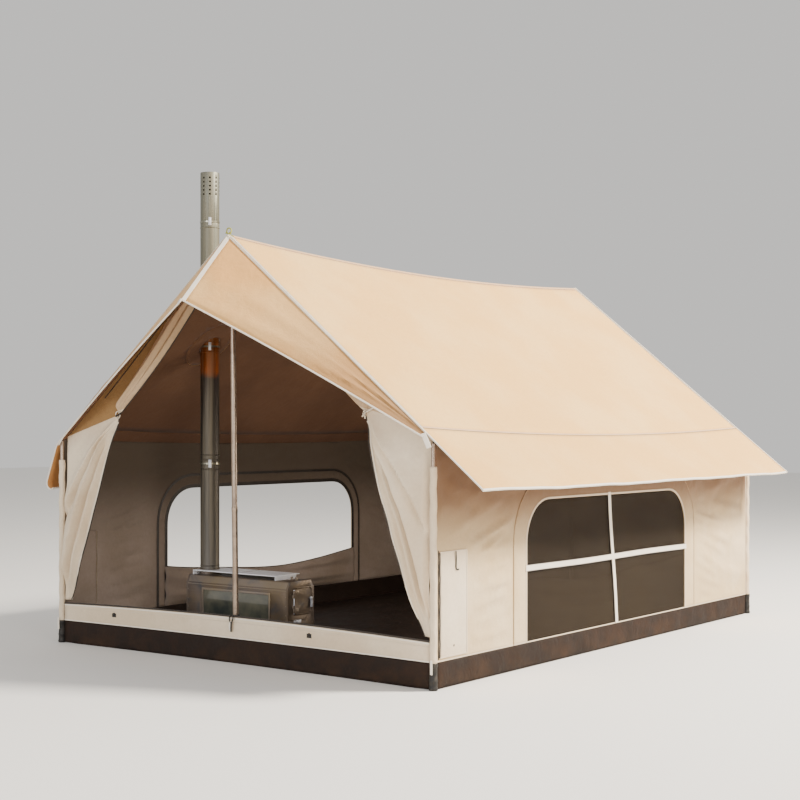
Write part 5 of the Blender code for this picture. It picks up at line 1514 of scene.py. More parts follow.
def floor_place(x, y):
    edge = smooth((HALF_WIDTH - abs(x)) / 0.10) * smooth((REAR - y) / 0.10)
    edge *= smooth((y - FRONT - 0.03) / 0.12)
    swell = abs(rumple(x, y, 0.35, 0.16, 0.010, 51.0)) + abs(rumple(x, y, 0.12, 0.07, 0.004, 55.0))
    near = [math.hypot(x, y - at) for at in (FRONT + 0.052, REAR - 0.052)]
    stove = math.hypot(max(abs(x + 0.29) - 0.30, 0), max(abs(y - FLUE_Y) - 0.10, 0))
    held = smooth((min(near + [stove]) - 0.03) / 0.05)
    return Vector((x, y, 0.0016 + edge * held * swell))


WELT = 0.0055
side_reach = HALF_WIDTH - SHELL_MIDDLE - WELT
left_welt = [(-side_reach, REAR - TUB_INSET), (-side_reach, FRONT + TUB_INSET)]
welts = {"left": left_welt, "right": [(-x, y) for x, y in left_welt]}
steps = [across_tent(u) for u in shares(30)]
welts["front"] = [(x, FRONT + front_bow(x) + SHELL_MIDDLE + WELT) for x in steps]
welts["rear"] = [(x, REAR - SHELL_MIDDLE - WELT) for x in steps]
for word, points in welts.items():
    line = spaced([(x, y, FLOOR_TOP + WELT * 0.7) for x, y in points], 0.05)
    cord(f"floor_welt_{word}", (WELT, 10), line, (0, 0, 1), FLOOR_FABRIC, "tub_fabric")

# The floor is cut away at its corners for the boots. Its front edge bows in as the sill does.
NOTCH = 0.0215
front_edge = [mix(-HALF_WIDTH, HALF_WIDTH, s / 24) for s in range(1, 24)]
corners = [(-HALF_WIDTH + NOTCH, REAR), (-HALF_WIDTH + NOTCH, REAR - NOTCH), (-HALF_WIDTH, REAR - NOTCH)]
corners += [(-HALF_WIDTH, FRONT + NOTCH), (-HALF_WIDTH + NOTCH, FRONT + NOTCH)]
corners += [(x, FRONT + front_bow(x)) for x in front_edge if abs(x) < HALF_WIDTH - NOTCH]
corners += [(HALF_WIDTH - NOTCH, FRONT + NOTCH), (HALF_WIDTH, FRONT + NOTCH)]
corners += [(HALF_WIDTH, REAR - NOTCH), (HALF_WIDTH - NOTCH, REAR - NOTCH), (HALF_WIDTH - NOTCH, REAR)]
shape = aim(cut_cloth(corners, [], 0.045, floor_place), (0, 0, 1))
floor_sheet = piece("floor_cloth", shape, FLOOR_FABRIC, "tub_fabric", stands_for=("groundsheet",), wall=0.003)
tell("floor and welts")

# %% [markdown]
# ## Doors
# Each door is a triangle that is drawn back to a tie on its free edge. Above the tie it hangs as a narrow
# sling under the roof's edge. Below it the cloth falls in pleats that fan out of the tie and gather again at
# the sill. A simulation would have to pull the whole leaf through its tie, so a formula draws one fold at a
# time.

# %% Curves of a door leaf
LEAF_Y = FRONT + 0.022
TIE_HEIGHT = 1.195
LEAF_OUTER = HALF_WIDTH - 0.0178
LEAF_FOOT_REACH = HALF_WIDTH - 0.055
RIGHT_TIE, LEFT_TIE = HALF_WIDTH - 0.385, HALF_WIDTH - 0.415


def along_edge(points, share):
    for (low, start), (high, end) in zip(points, points[1:]):
        if share <= high:
            return start.lerp(end, (share - low) / (high - low))
    return points[-1][1]


def leaf_edges(tie_reach):
    apex_reach = 0.017
    apex = roof_height(apex_reach, LEAF_Y) - SHELL_RISE - 0.001
    eave = roof_height(LEAF_OUTER, LEAF_Y) - SHELL_RISE - 0.001
    foot = SILL_HEIGHT + SILL_RISE + 0.0018
    reach, height = mix(tie_reach, LEAF_FOOT_REACH, 0.52), mix(TIE_HEIGHT, foot, 0.5)
    fixed = [
        (0, Vector((apex_reach, 0, apex))),
        (0.5, Vector((LEAF_OUTER, 0, eave))),
        (1, Vector((LEAF_OUTER, 0, foot))),
    ]
    free = [
        (0, Vector((apex_reach, 0, apex - 0.0385))),
        (0.5, Vector((tie_reach, 0, TIE_HEIGHT))),
        (0.75, Vector((reach, 0, height))),
        (1, Vector((LEAF_FOOT_REACH, 0, foot))),
    ]
    return fixed, free


print("from the middle to the ties:", round(RIGHT_TIE, 3), "and", round(LEFT_TIE, 3), "m")

# %% Folds of the leaves
# Folds below a tie: how far down the fold meets the wall (1 is the sill), its depth and its width in metres.
RIGHT_FOLDS = [(0.46, 0.016, 0.090), (0.90, 0.034, 0.075), (1.70, 0.018, 0.030)]
LEFT_FOLDS = [(0.45, 0.024, 0.060), (0.88, 0.032, 0.060), (1.90, 0.018, 0.025)]
TIE_SHARE = 0.045
LIP_DROP, GROOVE_PLACE, GROOVE_WIDTH, GROOVE_DEPTH = 0.010, 0.026, 0.016, 0.8


def lap(off, spread):
    """A lapped fold across its crest: a slow rise from the wall, a steep drop and a groove under its lip."""
    if off < 0:
        return math.exp(-((off / spread) ** 2))
    groove = math.exp(-(((off - GROOVE_PLACE) / GROOVE_WIDTH) ** 2))
    return math.exp(-((off / LIP_DROP) ** 2)) - GROOVE_DEPTH * groove


def leaf_share(u, v, width):
    """Above the tie the outer half of the grid is the sling, and the other half the strip under the roof."""
    sling = mix(0.018, 0.125, smooth((0.5 - v) / 0.07))
    near = min(0.85, sling / width) if v < 0.5 else mix(TIE_SHARE, 0.5, smooth((v - 0.5) / 0.10))
    return 2 * u * (1 - near) if u < 0.5 else 1 - near + (2 * u - 1) * near


def leaf_point(side, tie_reach, folds, u, v, lift=0.0):
    fixed, free = leaf_edges(tie_reach)
    wall, edge = along_edge(fixed, v), along_edge(free, v)
    above, below = clamp(1 - v / 0.5), clamp((v - 0.5) / 0.5)
    edge.z -= 0.045 * math.sin(math.pi * above)  # the sling sags
    edge.x -= 0.030 * math.sin(math.pi * below) ** 0.8  # and the free edge bows in under the tie
    width = (edge - wall).length
    share = leaf_share(u, v, width)
    point = wall.lerp(edge, share)
    depth = 0.0
    if v < 0.5:
        across = clamp(2 * u - 1)
        belly = math.sin(math.pi * across) ** 0.6 if 0 < across < 1 else 0.0
        crease = math.exp(-(((across - 0.66) / 0.09) ** 2)) * smooth((v - 0.12) / 0.12)
        soft = 0.004 * math.sin(5 * math.pi * across + 9 * v)
        depth = (0.026 * belly - 0.012 * crease + soft * belly) * smooth(above / 0.10) - 0.002
    else:
        held = smooth(below * 7) * (1 - 0.65 * smooth((below - 0.75) / 0.25))
        depth = 0.026 * smooth(share / 0.12)
        for run_out, size, spread in folds:
            crest = mix(0.97, 0.05, below / run_out)
            fade = smooth((crest + 0.10) / 0.25)
            depth += size * fade * lap((share - crest) * width, spread * mix(0.5, 1, smooth(below * 2)))
        depth *= held
    soft = rumple(point.x * side, point.z, 0.07, 0.16, 0.010, 60.0 + side)
    soft *= smooth(share / 0.06) * smooth((1 - share) / 0.05 + 0.3) * smooth(below * 8)
    y = LEAF_Y - depth - soft - lift
    return Vector((side * point.x, min(y, LEAF_Y + 0.004), point.z))


print("folds below a tie:", len(RIGHT_FOLDS))

# %% Make the leaves
# Each leaf's side, its tie's reach, its folds, and how far down its strip under the roof goes.
# The strip's colour is painted glow of light through the roof canvas, and painted shade.
LEAVES = {"right": (1, RIGHT_TIE, RIGHT_FOLDS, 0.40), "left": (-1, LEFT_TIE, LEFT_FOLDS, 0.50)}
DOOR_SIZE = (0.45, 1.9)
GLOW_STRIP_SLOT, SHADED_SLING_SLOT = 2, 4
for word, (side, tie_reach, folds, strip_end) in LEAVES.items():

    def on_leaf(u, v, lift=0.0, side=side, tie_reach=tie_reach, folds=folds):
        return leaf_point(side, tie_reach, folds, u, v, lift)

    shape = aim(grid(72, 130, on_leaf, DOOR_SIZE), (0, -1, 0))
    uv = shape.loops.layers.uv.verify()
    for face in shape.faces:
        spots = [loop[uv].uv for loop in face.loops]
        across, down = (sum(spot[axis] for spot in spots) / len(spots) / DOOR_SIZE[axis] for axis in (0, 1))
        # The strip under the roof takes painted glow and shade, and the sling above the tie painted shade.
        if across < 0.5 and down < strip_end:
            face.material_index = GLOW_STRIP_SLOT
        elif down < 0.5 - TIE_SHARE / 2:
            face.material_index = SHADED_SLING_SLOT
    leaf = [f"door_leaf_{word}"]
    door = cloth(f"door_cloth_{word}", shape, WALL_CANVAS, WALL_INSIDE_PAINTED_SHADE, "wall_canvas", leaf, wall=0.002)
    for extra in (STRIP_PAINTED_GLOW_CANVAS, ROOF_UNDERSIDE_PAINTED_SHADE, SLING_PAINTED_SHADE_CANVAS, WALL_INSIDE_PAINTED_SHADE):
        door.data.materials.append(extra)
    down = shares(110)
    cord(
        f"door_zip_{word}",
        (0.0034, 8),
        [on_leaf(1.0, v) for v in down],
        (0, -1, 0),
        DARK_ZIP,
        "black_webbing",
    )
    for name, section, u, lift, rows, finish, slot in (
        ("door_binding", (0.009, 0.0018), 0.975, 0.0014, down[57:], CREAM_CORD, "wall_canvas"),
        ("door_wall_seam", (0.008, 0.0016), 0.015, 0.001, down[56:], ECRU_TAPE, "wall_canvas"),
        ("door_strip_seam", (0.006, 0.0014), 0.14, 0.001, down[4:45], DARK_ZIP, "black_webbing"),
    ):
        tape(f"{name}_{word}", section, [on_leaf(u, v, lift) for v in rows], (0, -1, 0), finish, slot)
tell("door leaves")

# %% [markdown]
# ### Ties
# The right door is gathered by a knotted cream cord. The left one is held by a dark toggle through a loop.

# %% Make the ties


def tie_spot(word):
    return leaf_point(*LEAVES[word][:3], 1.0, 0.5, 0.006)


spot = tie_spot("right")
knot = []
for step in range(73):
    turn = 2 * math.pi * step / 72
    across, out = 0.006 * math.sin(2 * turn), -0.003 - 0.004 * math.cos(3 * turn)
    knot.append(spot + Vector((across, out, 0.008 * math.cos(turn) + 0.003 * math.sin(3 * turn))))
knotted = ("door_tie_right",)
cord("tie_knot_right", (0.0034, 10), knot, (0.3, -0.9, 0.2), CREAM_CORD, "wall_canvas", "tent", True, knotted)
for index, way in enumerate(((0.008, -0.010, -0.026), (-0.006, -0.012, -0.018), (0.060, 0.004, 0.028))):
    bend = spot + Vector(way) * 0.5 + Vector((0.004, -0.006, 0))
    line = catmull([spot, bend, spot + Vector(way)], 6)
    cord(f"tie_end_right_{index}", (0.0034, 8), line, (0, -1, 0.1), CREAM_CORD, "wall_canvas")
spot = tie_spot("left")
upper = [(0.0040, 0.006), (0.0055, 0.015), (0.004, 0.019), (0, 0.019)]
toggle = turned([(radius, -z) for radius, z in upper[::-1]] + upper, 24)
moved(toggle, spot + Vector((0.004, -0.006, 0)), Matrix.Rotation(math.radians(68), 4, "Y"))
piece("tie_toggle_left", toggle, BLACK_RUBBER, "black_rubber", stands_for=("door_tie_left",))
turns = [2 * math.pi * s / 36 for s in range(37)]
loop = [spot + Vector((0.016 * math.sin(turn), -0.004, 0.018 * math.cos(turn))) for turn in turns]
cord("tie_loop_left", (0.0028, 8), loop, (0, -1, 0), CREAM_CORD, "wall_canvas", closed=True)
tell("ties")

# %% [markdown]
# ## Poles and their feet
# Each pole is turned as one profile: two tube sections with a rolled joint, and on the two uprights a small
# locking collar. The corner poles stand in rubber boots, and the two uprights in rubber cups. Cylinders could
# be joined instead, but a spun profile leaves no faces inside.

# %% Make the poles
POLE_LEAN = 0.030  # the front pole leans forward at its top, as in the photograph


def pole(node, joint_share, collar, lean=0.0):
    low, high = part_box(node)
    middle, radius = (low + high) / 2, (high.x - low.x) / 2
    joint = mix(low.z, high.z, joint_share)
    profile = [
        (0, low.z),
        (radius - 0.001, low.z),
        (radius, low.z + 0.001),
        (radius, joint - 0.012),
        (radius + collar, joint - 0.010),
        (radius + collar, joint + 0.010),
        (radius - 0.0008, joint + 0.012),
        (radius - 0.0008, high.z - 0.002),
        (radius - 0.003, high.z),
        (0, high.z),
    ]
    shape = turned(profile, 32, (middle.x, middle.y, 0))
    for corner in shape.verts:
        corner.co.y -= lean * clamp((corner.co.z - low.z - 0.03) / (high.z - low.z))
    piece(f"{node}_tube", shape, BRONZE_POLE, "bronze_pole", stands_for=(node,), sharp=math.radians(28))


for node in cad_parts:
    if node.startswith("corner_pole_"):
        pole(node, 0.55, 0.0)
    if node in ("front_pole", "rear_pole"):
        pole(node, 0.36, 0.0010, POLE_LEAN if node == "front_pole" else 0.0)
tell("poles")

# %% Make the feet and boots
# Feet as (inset from the full radius, height) points: a rounded sole, then the ribs of a tall boot.
SOLE = [(0.004, 0.0), (0.0012, 0.0012), (0.0, 0.004), (0.0, 0.012), (0.0016, 0.015)]
RIBS = [
    (0.0020, 0.30),
    (0.0008, 0.32),
    (0.0008, 0.40),
    (0.0022, 0.42),
    (0.0030, 0.84),
    (0.0008, 0.87),
    (0.0008, 0.97),
]
for node in [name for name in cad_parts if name.startswith(("corner_boot", "pole_foot"))]:
    low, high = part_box(node)
    middle, radius, top = (low + high) / 2, (high.x - low.x) / 2, high.z - low.z
    is_boot = node.startswith("corner_boot")
    inner = radius - (0.0088 if is_boot else 0.0047)
    profile = [(0, 0.0)] + [(radius - inset, z) for inset, z in SOLE]
    if is_boot:
        profile += [(radius - inset, top * share) for inset, share in RIBS]
    profile += [(radius - 0.0026, top), (inner, top), (inner, 0.0036), (0, 0.0036)]
    shape = turned(profile, 40, (middle.x, middle.y, low.z))
    piece(f"{node}_moulding", shape, BLACK_RUBBER, "black_rubber", stands_for=(node,), sharp=math.radians(50))
tell("feet and boots")

# %% [markdown]
# ### Straps at the front pole, the corners and the apex
# A dark hook with a white tail ties the sill to the front pole. Each corner pole has a short white strap that
# pulls the tub up. The apex has a loop of yellow-green cord for a guy line, and the beak's tip has an eyelet.

# %% Make the hook and its tails
pole_x, pole_y = middle_of("front_pole").x, middle_of("front_pole").y
pole_radius = (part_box("front_pole")[1].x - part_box("front_pole")[0].x) / 2
sill_face = FRONT + FRONT_BOW - 0.004
ring_z = SILL_HEIGHT + SILL_RISE + 0.0035
ring = ring_points(Vector((pole_x, pole_y, ring_z)), pole_radius + 0.0036)
for index, point in enumerate(ring):
    point.z += 0.002 * math.sin(2 * (2 * math.pi * index / 40))
hooked = ("pole_hook",)
cord("hook_ring", (0.0032, 10), ring, (0, 0, 1), BLACK_WEBBING, "black_webbing", "tent", True, hooked)


def below_ring(*points):
    """A smooth line in front of the sill, from (across, out, down) points under the hook's ring."""
    return catmull([(pole_x + across, sill_face - out, ring_z - down) for across, out, down in points], 6)


pole_front = sill_face - (pole_y - pole_radius - 0.004)
for index, across in enumerate((-0.011, 0.011)):
    arm = [(across * 0.6, pole_front, 0), (across, 0.006, 0.004)]
    arm += [(across * 0.9, 0.010, 0.020), (0, 0.009, 0.036)]
    cord(f"hook_arm_{index}", (0.0032, 8), below_ring(*arm), (1, 0, 0), BLACK_WEBBING, "black_webbing")
line = below_ring((-0.004, 0.009, 0.026), (-0.009, 0.008, 0.050), (-0.008, 0.006, 0.073))
tape("hook_tail_white", (0.012, 0.003), line, (0, -1, 0), WHITE_BINDING, "loop_webbing")
line = below_ring((0.002, 0.009, 0.030), (0.001, 0.010, 0.052), (-0.002, 0.007, 0.076))
tape("hook_tail_dark", (0.010, 0.003), line, (0, -1, 0), BLACK_WEBBING, "black_webbing")
tell("hook")

# %% Make the corner straps and the apex loop
for name in [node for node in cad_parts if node.startswith("corner_boot")]:
    spot = middle_of(name)
    way_x, way_y = (1 if spot.x > 0 else -1), (1 if spot.y > 0 else -1)
    x, y = spot.x + way_x * 0.004, spot.y + way_y * 0.0205
    line, word = straight((x, y, 0.070), (x, y, 0.132), 8), name.replace("corner_boot_", "")
    tape(f"corner_strap_{word}", (0.012, 0.0022), line, (0, way_y, 0), WHITE_BINDING, "loop_webbing")

loop_spot, low_z = middle_of("apex_loop"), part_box("apex_loop")[0].z
loop = []
for step in range(41):
    turn = 2 * math.pi * step / 40
    across, along = 0.0145 * math.sin(turn) * (1 - 0.25 * math.cos(turn)), 0.003 * math.sin(2 * turn)
    loop.append(loop_spot + Vector((across, along, 0.0150 * math.cos(turn))))
looped = ("apex_loop",)
cord("apex_cord_loop", (0.0032, 10), loop, (0, 1, 0), GREEN_CORD, "loop_webbing", "tent", True, looped)


def from_loop(steps, *points):
    """A smooth line from (across, back, up) points about the foot of the apex loop."""
    return catmull([(across, loop_spot.y + back, low_z + up) for across, back, up in points], steps)


for index, side in enumerate((-1, 1)):
    line = from_loop(6, (side * 0.002, 0, 0.002), (side * 0.013, 0, -0.003), (side * 0.026, 0.004, -0.012))
    tape(f"apex_cord_root_{index}", (0.008, 0.003), line, (0, 0, 1), GREEN_CORD, "loop_webbing")
for index, (across, up) in enumerate(((-0.010, 0.012), (0.012, 0.010))):
    line = from_loop(5, (0, -0.004, 0.004), (across, -0.007, up), (across * 1.5, -0.006, up * 0.6))
    cord(f"apex_knot_{index}", (0.0030, 8), line, (0, -1, 0.2), GREEN_CORD, "loop_webbing")

tilt = Matrix.Rotation(math.radians(-40), 4, "Y"), Matrix.Rotation(math.radians(50), 4, "X")
patch = turned([(0.0045, -0.0022), (0.015, -0.0022), (0.0165, 0), (0.015, 0.0022), (0.0045, 0.0022)], 32)
rim = turned([(0.0040, -0.0030), (0.0072, -0.0032), (0.0080, 0), (0.0072, 0.0032), (0.0040, 0.0030)], 32)
for name, shape, finish, slot in (
    ("tip_patch", patch, WHITE_BINDING, "roof_canvas"), ("tip_eyelet", rim, BRIGHT_STEEL, "bright_steel")
):
    piece(name, moved(shape, BEAK_TIP + Vector((-0.012, -0.004, -0.006)), *tilt), finish, slot)
tell("straps, apex loop and eyelet")

# %% [markdown]
# ## Flue
# Rolled steel pipes push into each other, with a bead above and below each joint and folded seams along them.
# Heat has coloured them brown-grey above the stove. Higher up they are darker under the roof, which is
# painted shade, orange brown where they leave it, which is a painted reflection of the lit canvas, and a
# weathered grey outside. That change follows height, so the finish reads the Object coordinate's Z.

# %% Flue finish
FLUE_TINT_HEIGHT = 2.5
# Colours up the flue, as shares of that height: heat tint over the stove, painted shade under the roof, a
# painted reflection of the canvas at the roof, and weathered grey outside.
FLUE_HEAT_AND_PAINTED_LIGHT_STOPS = [(0.16, "#5E5A54"), (0.30, "#4A4640"), (0.46, "#38342F"), (0.580, "#352C27")]
FLUE_HEAT_AND_PAINTED_LIGHT_STOPS += [(0.592, "#8C4614"), (0.66, "#7C4418"), (0.74, "#6E6C5C"), (1.0, "#76766A")]


def heat_tint_and_painted_light_flue():
    finish, shader = finish_named("heat_tinted_flue_steel", metallic=0.7)
    place = add_node(finish, "TexCoord").outputs["Object"]
    split = add_node(finish, "SeparateXYZ", {0: place})
    streaks = add_node(finish, "Mapping", {"Vector": place, "Scale": (1, 1, 0.03)})
    grain = add_node(finish, "TexNoise", {"Vector": streaks, "Scale": 38.0, "Detail": 5.0, "Roughness": 0.6})
    cloud = add_node(finish, "TexNoise", {"Vector": place, "Scale": 9.0, "Detail": 5.0})
    shift = add_node(finish, "Math", {0: cloud, 1: 0.10}, operation="MULTIPLY")
    height = add_node(finish, "Math", {0: split.outputs[2], 1: shift}, operation="ADD")
    share = add_node(finish, "Math", {0: height, 1: FLUE_TINT_HEIGHT}, operation="DIVIDE")
    # Heat tint, painted shade and a painted reflection, one after another up the flue.
    ramp = add_node(finish, "ValToRGB", {0: share})
    first, last = ramp.color_ramp.elements
    first.position, first.color = FLUE_HEAT_AND_PAINTED_LIGHT_STOPS[0][0], colour(FLUE_HEAT_AND_PAINTED_LIGHT_STOPS[0][1])
    last.position, last.color = FLUE_HEAT_AND_PAINTED_LIGHT_STOPS[-1][0], colour(FLUE_HEAT_AND_PAINTED_LIGHT_STOPS[-1][1])
    for position, code in FLUE_HEAT_AND_PAINTED_LIGHT_STOPS[1:-1]:
        ramp.color_ramp.elements.new(position).color = colour(code)
    worn = add_node(finish, "MapRange", {0: grain, 1: 0.42, 2: 0.66, 3: 0.0, 4: 0.34})
    base = add_node(finish, "Mix", {0: worn, 6: ramp, 7: "#A2967E"}, data_type="RGBA")
    shine = add_node(finish, "MapRange", {0: grain, 1: 0.3, 2: 0.7, 3: 0.42, 4: 0.64})
    ripple = add_node(finish, "Bump", {"Height": grain, "Strength": 0.15, "Distance": 0.002})
    dents = add_node(finish, "Bump", {"Height": cloud, "Strength": 0.25, "Distance": 0.006, "Normal": ripple})
    connect(finish, shader, base_color=base, roughness=shine, normal=dents)
    return finish


FLUE_STEEL_WITH_PAINTED_LIGHT = heat_tint_and_painted_light_flue()
print("finish of the pipes:", FLUE_STEEL_WITH_PAINTED_LIGHT.name)

# %% Make the pipes, the cap and the collar
BEAD, PIPE_WALL = 0.0022, 0.0025
for name in ("flue_lower", "flue_middle", "flue_upper"):
    low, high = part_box(name)
    inside, bead = FLUE_RADIUS - PIPE_WALL, FLUE_RADIUS + BEAD
    profile = [(inside, low.z), (FLUE_RADIUS - 0.0004, low.z), (FLUE_RADIUS, low.z + 0.001)]
    for z in (low.z + 0.020, low.z + 0.044, high.z - 0.030):
        profile += [(FLUE_RADIUS, z - 0.004), (bead, z - 0.001), (bead, z + 0.001), (FLUE_RADIUS, z + 0.004)]
    profile += [(FLUE_RADIUS, high.z - 0.001), (FLUE_RADIUS - 0.0004, high.z), (inside, high.z)]
    shape = turned(profile, 72, (FLUE_X, FLUE_Y, 0))
    piece(f"{name}_pipe", shape, FLUE_STEEL_WITH_PAINTED_LIGHT, "flue_steel", stands_for=(name,), sharp=math.radians(30))
machined("flue_cap", FLUE_STEEL_WITH_PAINTED_LIGHT, "flue_steel", width=0.0006)
low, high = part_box("flue_collar")
radius = (high.x - low.x) / 2
inside, flange = radius - 0.0037, radius + 0.010
profile = [(inside, low.z), (flange, low.z), (flange, low.z + 0.002), (radius, low.z + 0.003)]
profile += [(radius, high.z - 0.002), (radius - 0.0015, high.z), (inside, high.z)]
shape = turned(profile, 64, (FLUE_X, FLUE_Y, 0))
piece(
    "flue_collar_ring", shape, STOVE_STEEL, "stove_steel", stands_for=("flue_collar",), sharp=math.radians(30)
)
tell("pipes, cap and collar")

# %% Make the seams and clips of the flue
flue_low, flue_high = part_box("flue_lower")[0].z + 0.03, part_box("flue_cap")[1].z - 0.16
for index, degrees in enumerate((-78.0, -12.0, 60.0)):
    turn = math.radians(degrees)
    out = Vector((math.cos(turn), math.sin(turn), 0))
    foot = Vector((FLUE_X, FLUE_Y, flue_low)) + out * (FLUE_RADIUS - 0.0002)
    line = straight(foot, foot + Vector((0, 0, flue_high - flue_low)), 40)
    tape(f"flue_seam_{index}", (0.005, 0.0014), line, out, FLUE_STEEL_WITH_PAINTED_LIGHT, "flue_steel")
for name in ("clip_lower", "clip_middle", "clip_upper"):
    machined(name, BRIGHT_STEEL, "bright_steel", width=0.0010, segments=3)
    spot = middle_of(name)
    axis = Vector((FLUE_X, FLUE_Y, spot.z))
    out = (spot - axis).normalized()
    lever = [(0.002, 0.016), (0.007, 0.006), (0.006, -0.010), (0.002, -0.018)]
    line = catmull([spot + out * away + Vector((0, 0, up)) for away, up in lever], 5)
    tape(f"{name}_lever", (0.008, 0.002), line, out, BRIGHT_STEEL, "bright_steel")
    ring = ring_points(axis, FLUE_RADIUS + 0.0006, 64)
    outs = [(point - axis).normalized() for point in ring]
    tape(f"{name}_band", (0.010, 0.0014), ring, outs, FLUE_STEEL, "flue_steel", closed=True)
tell("seams and clips")

# %% [markdown]
# ## Stove
# The firebox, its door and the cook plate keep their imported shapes, with rolled edges. On them go the parts
# that a sheet-metal stove shows: a header strip, flanges at its ends, rows of rivets, hinge leaves and a
# spring handle. The box could be modelled again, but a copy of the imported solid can't drift away from it.

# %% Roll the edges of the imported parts
for name, finish, slot, body in (
    ("stove_body", STOVE_STEEL, "stove_steel", "tent"),
    ("stove_door", STOVE_STEEL, "stove_steel", "stove_door"),
    ("stove_hinge_pin", BRIGHT_STEEL, "bright_steel", "tent"),
    ("stove_latch", BRIGHT_STEEL, "bright_steel", "stove_latch"),
    ("air_slide", BRIGHT_STEEL, "bright_steel", "air_slide"),
    ("stove_glass", STOVE_GLASS, "stove_glass", "tent"),
    ("stove_glass_frame", HEADER_STEEL, "stove_steel", "tent"),
    ("cook_plate", PLATE_PAINTED_LIGHT, "bright_steel", "tent"),
    ("fire_grate", SOOTY_STEEL, "stove_steel", "tent"),
    ("stove_leg_left", STOVE_STEEL, "stove_steel", "tent"),
    ("stove_leg_right", STOVE_STEEL, "stove_steel", "tent"),
):
    machined(name, finish, slot, body)
tell("packed parts of the stove")

# %% Make the flanges and the header
# The firebox without its legs and plate. Its shoulders slope in over the last 40 mm.
box_low = Vector((FLUE_X - 0.07, FLUE_Y - 0.10, 0.130))
box_high = Vector((FLUE_X + 0.63, FLUE_Y + 0.10, 0.362))


def plate(low, high):
    shape = bmesh.new()
    bmesh.ops.create_cube(shape, size=1)
    bmesh.ops.scale(shape, vec=[top - bottom for bottom, top in zip(low, high)], verts=shape.verts)
    bmesh.ops.translate(shape, vec=[(top + bottom) / 2 for bottom, top in zip(low, high)], verts=shape.verts)
    return roll_edges(shape, shape.edges[:], 0.0008)


shoulder = box_high.z - 0.040
slope_run = Vector((0, 0.020, 0.040))
slope_out = Vector((0, -0.040, 0.020)).normalized()
strip = straight((box_low.x + 0.002, box_low.y, shoulder), (box_high.x - 0.002, box_low.y, shoulder), 20)
strip = [point + slope_run * 0.50 for point in strip]
tape("stove_header", (0.036, 0.0016, 0.05), strip, slope_out, HEADER_STEEL, "stove_steel")
lip = [Vector((point.x, box_low.y - 0.0002, shoulder - 0.004)) for point in strip]
tape("stove_header_lip", (0.006, 0.0016), lip, (0, -1, 0), HEADER_STEEL, "stove_steel")
for word, x, way in (("left", box_low.x, -1), ("right", box_high.x, 1)):
    front, back, top = box_low.y - 0.0005, box_high.y + 0.0005, box_high.z + 0.0003
    rim = [(front, box_low.z), (front, shoulder), (front + 0.020, top)]
    rim += [(back - 0.020, top), (back, shoulder), (back, box_low.z)]
    path = spaced([(x - way * 0.006, y, z) for y, z in rim], 0.006)
    centre_line = Vector((x, FLUE_Y, mix(box_low.z, box_high.z, 0.55)))
    outs = [Vector((0, point.y - centre_line.y, point.z - centre_line.z)).normalized() for point in path]
    tape(f"stove_flange_{word}", (0.013, 0.0014, 0.1), path, outs, STOVE_STEEL, "stove_steel")
tell("header and flanges")

# %% Make the rivets


def dome(spot, way, radius=0.0030):
    """A rivet head at a point, standing out along a direction."""
    height = 0.0016
    profile = [(0, 0), (radius, 0), (radius * 0.9, height * 0.55), (radius * 0.55, height * 0.9), (0, height)]
    shape = turned(profile, 16)
    turn = Vector(way).to_track_quat("Z", "Y").to_matrix().to_4x4()
    bmesh.ops.transform(shape, matrix=Matrix.Translation(spot) @ turn, verts=shape.verts)
    return shape


# Rivets as (place, direction): both ends of the front, the header, the glass and the end around the door.
rivets, front = bmesh.new(), (0, -1, 0)
columns = box_high.x - 0.012, box_low.x + 0.012
spots = [((x, box_low.y - 0.0012, z), front) for x in columns for z in (0.150, 0.196, 0.242, 0.288)]
ends = box_low.x + 0.016, box_high.x - 0.016
spots += [((x, box_low.y + 0.009, shoulder + 0.0195), tuple(slope_out)) for x in ends]
spots += [((x, box_low.y - 0.0002, 0.300), front) for x in (-0.40, -0.37, -0.25, -0.22)]
columns = box_low.y + 0.018, box_high.y - 0.012
spots += [((box_high.x + 0.0008, y, z), (1, 0, 0)) for y in columns for z in (0.150, 0.300)]
for spot, way in spots:
    head = dome(Vector(spot), way)
    mesh = bpy.data.meshes.new("rivet")
    head.to_mesh(mesh)
    head.free()
    rivets.from_mesh(mesh)
    bpy.data.meshes.remove(mesh)
piece("stove_rivets", rivets, HEADER_STEEL, "bright_steel")
tell("rivets")

# %% Dress the stove's door
door_face = box_high.x + 0.0033
door_y, door_z = (FLUE_Y - 0.056, FLUE_Y + 0.084), (0.192, 0.332)
rim = rounded(*shrunk((door_y[0], door_z[0]), (door_y[1], door_z[1]), 0.006), 0.014, 6)
rim = [Vector((door_face - 0.0002, y, z)) for y, z in rim]
rim_section, facing_out = (0.007, 0.0022, 0.4), (1, 0, 0)
rim.append(rim[0])
tape("door_pressed_rim", rim_section, rim, facing_out, STOVE_STEEL, "stove_steel", "stove_door", closed=True)
for index, z in enumerate((0.217, 0.307)):
    low = (door_face - 0.0002, door_y[0] + 0.006, z - 0.009)
    high = (door_face + 0.0016, door_y[0] + 0.034, z + 0.009)
    piece(f"hinge_leaf_{index}", plate(low, high), HEADER_STEEL, "bright_steel", "stove_door")
    for step, y in enumerate((door_y[0] + 0.014, door_y[0] + 0.027)):
        head = dome(Vector((door_face + 0.0014, y, z)), facing_out, 0.0028)
        piece(f"hinge_rivet_{index}_{step}", head, HEADER_STEEL, "bright_steel", "stove_door")
tell("door of the stove")

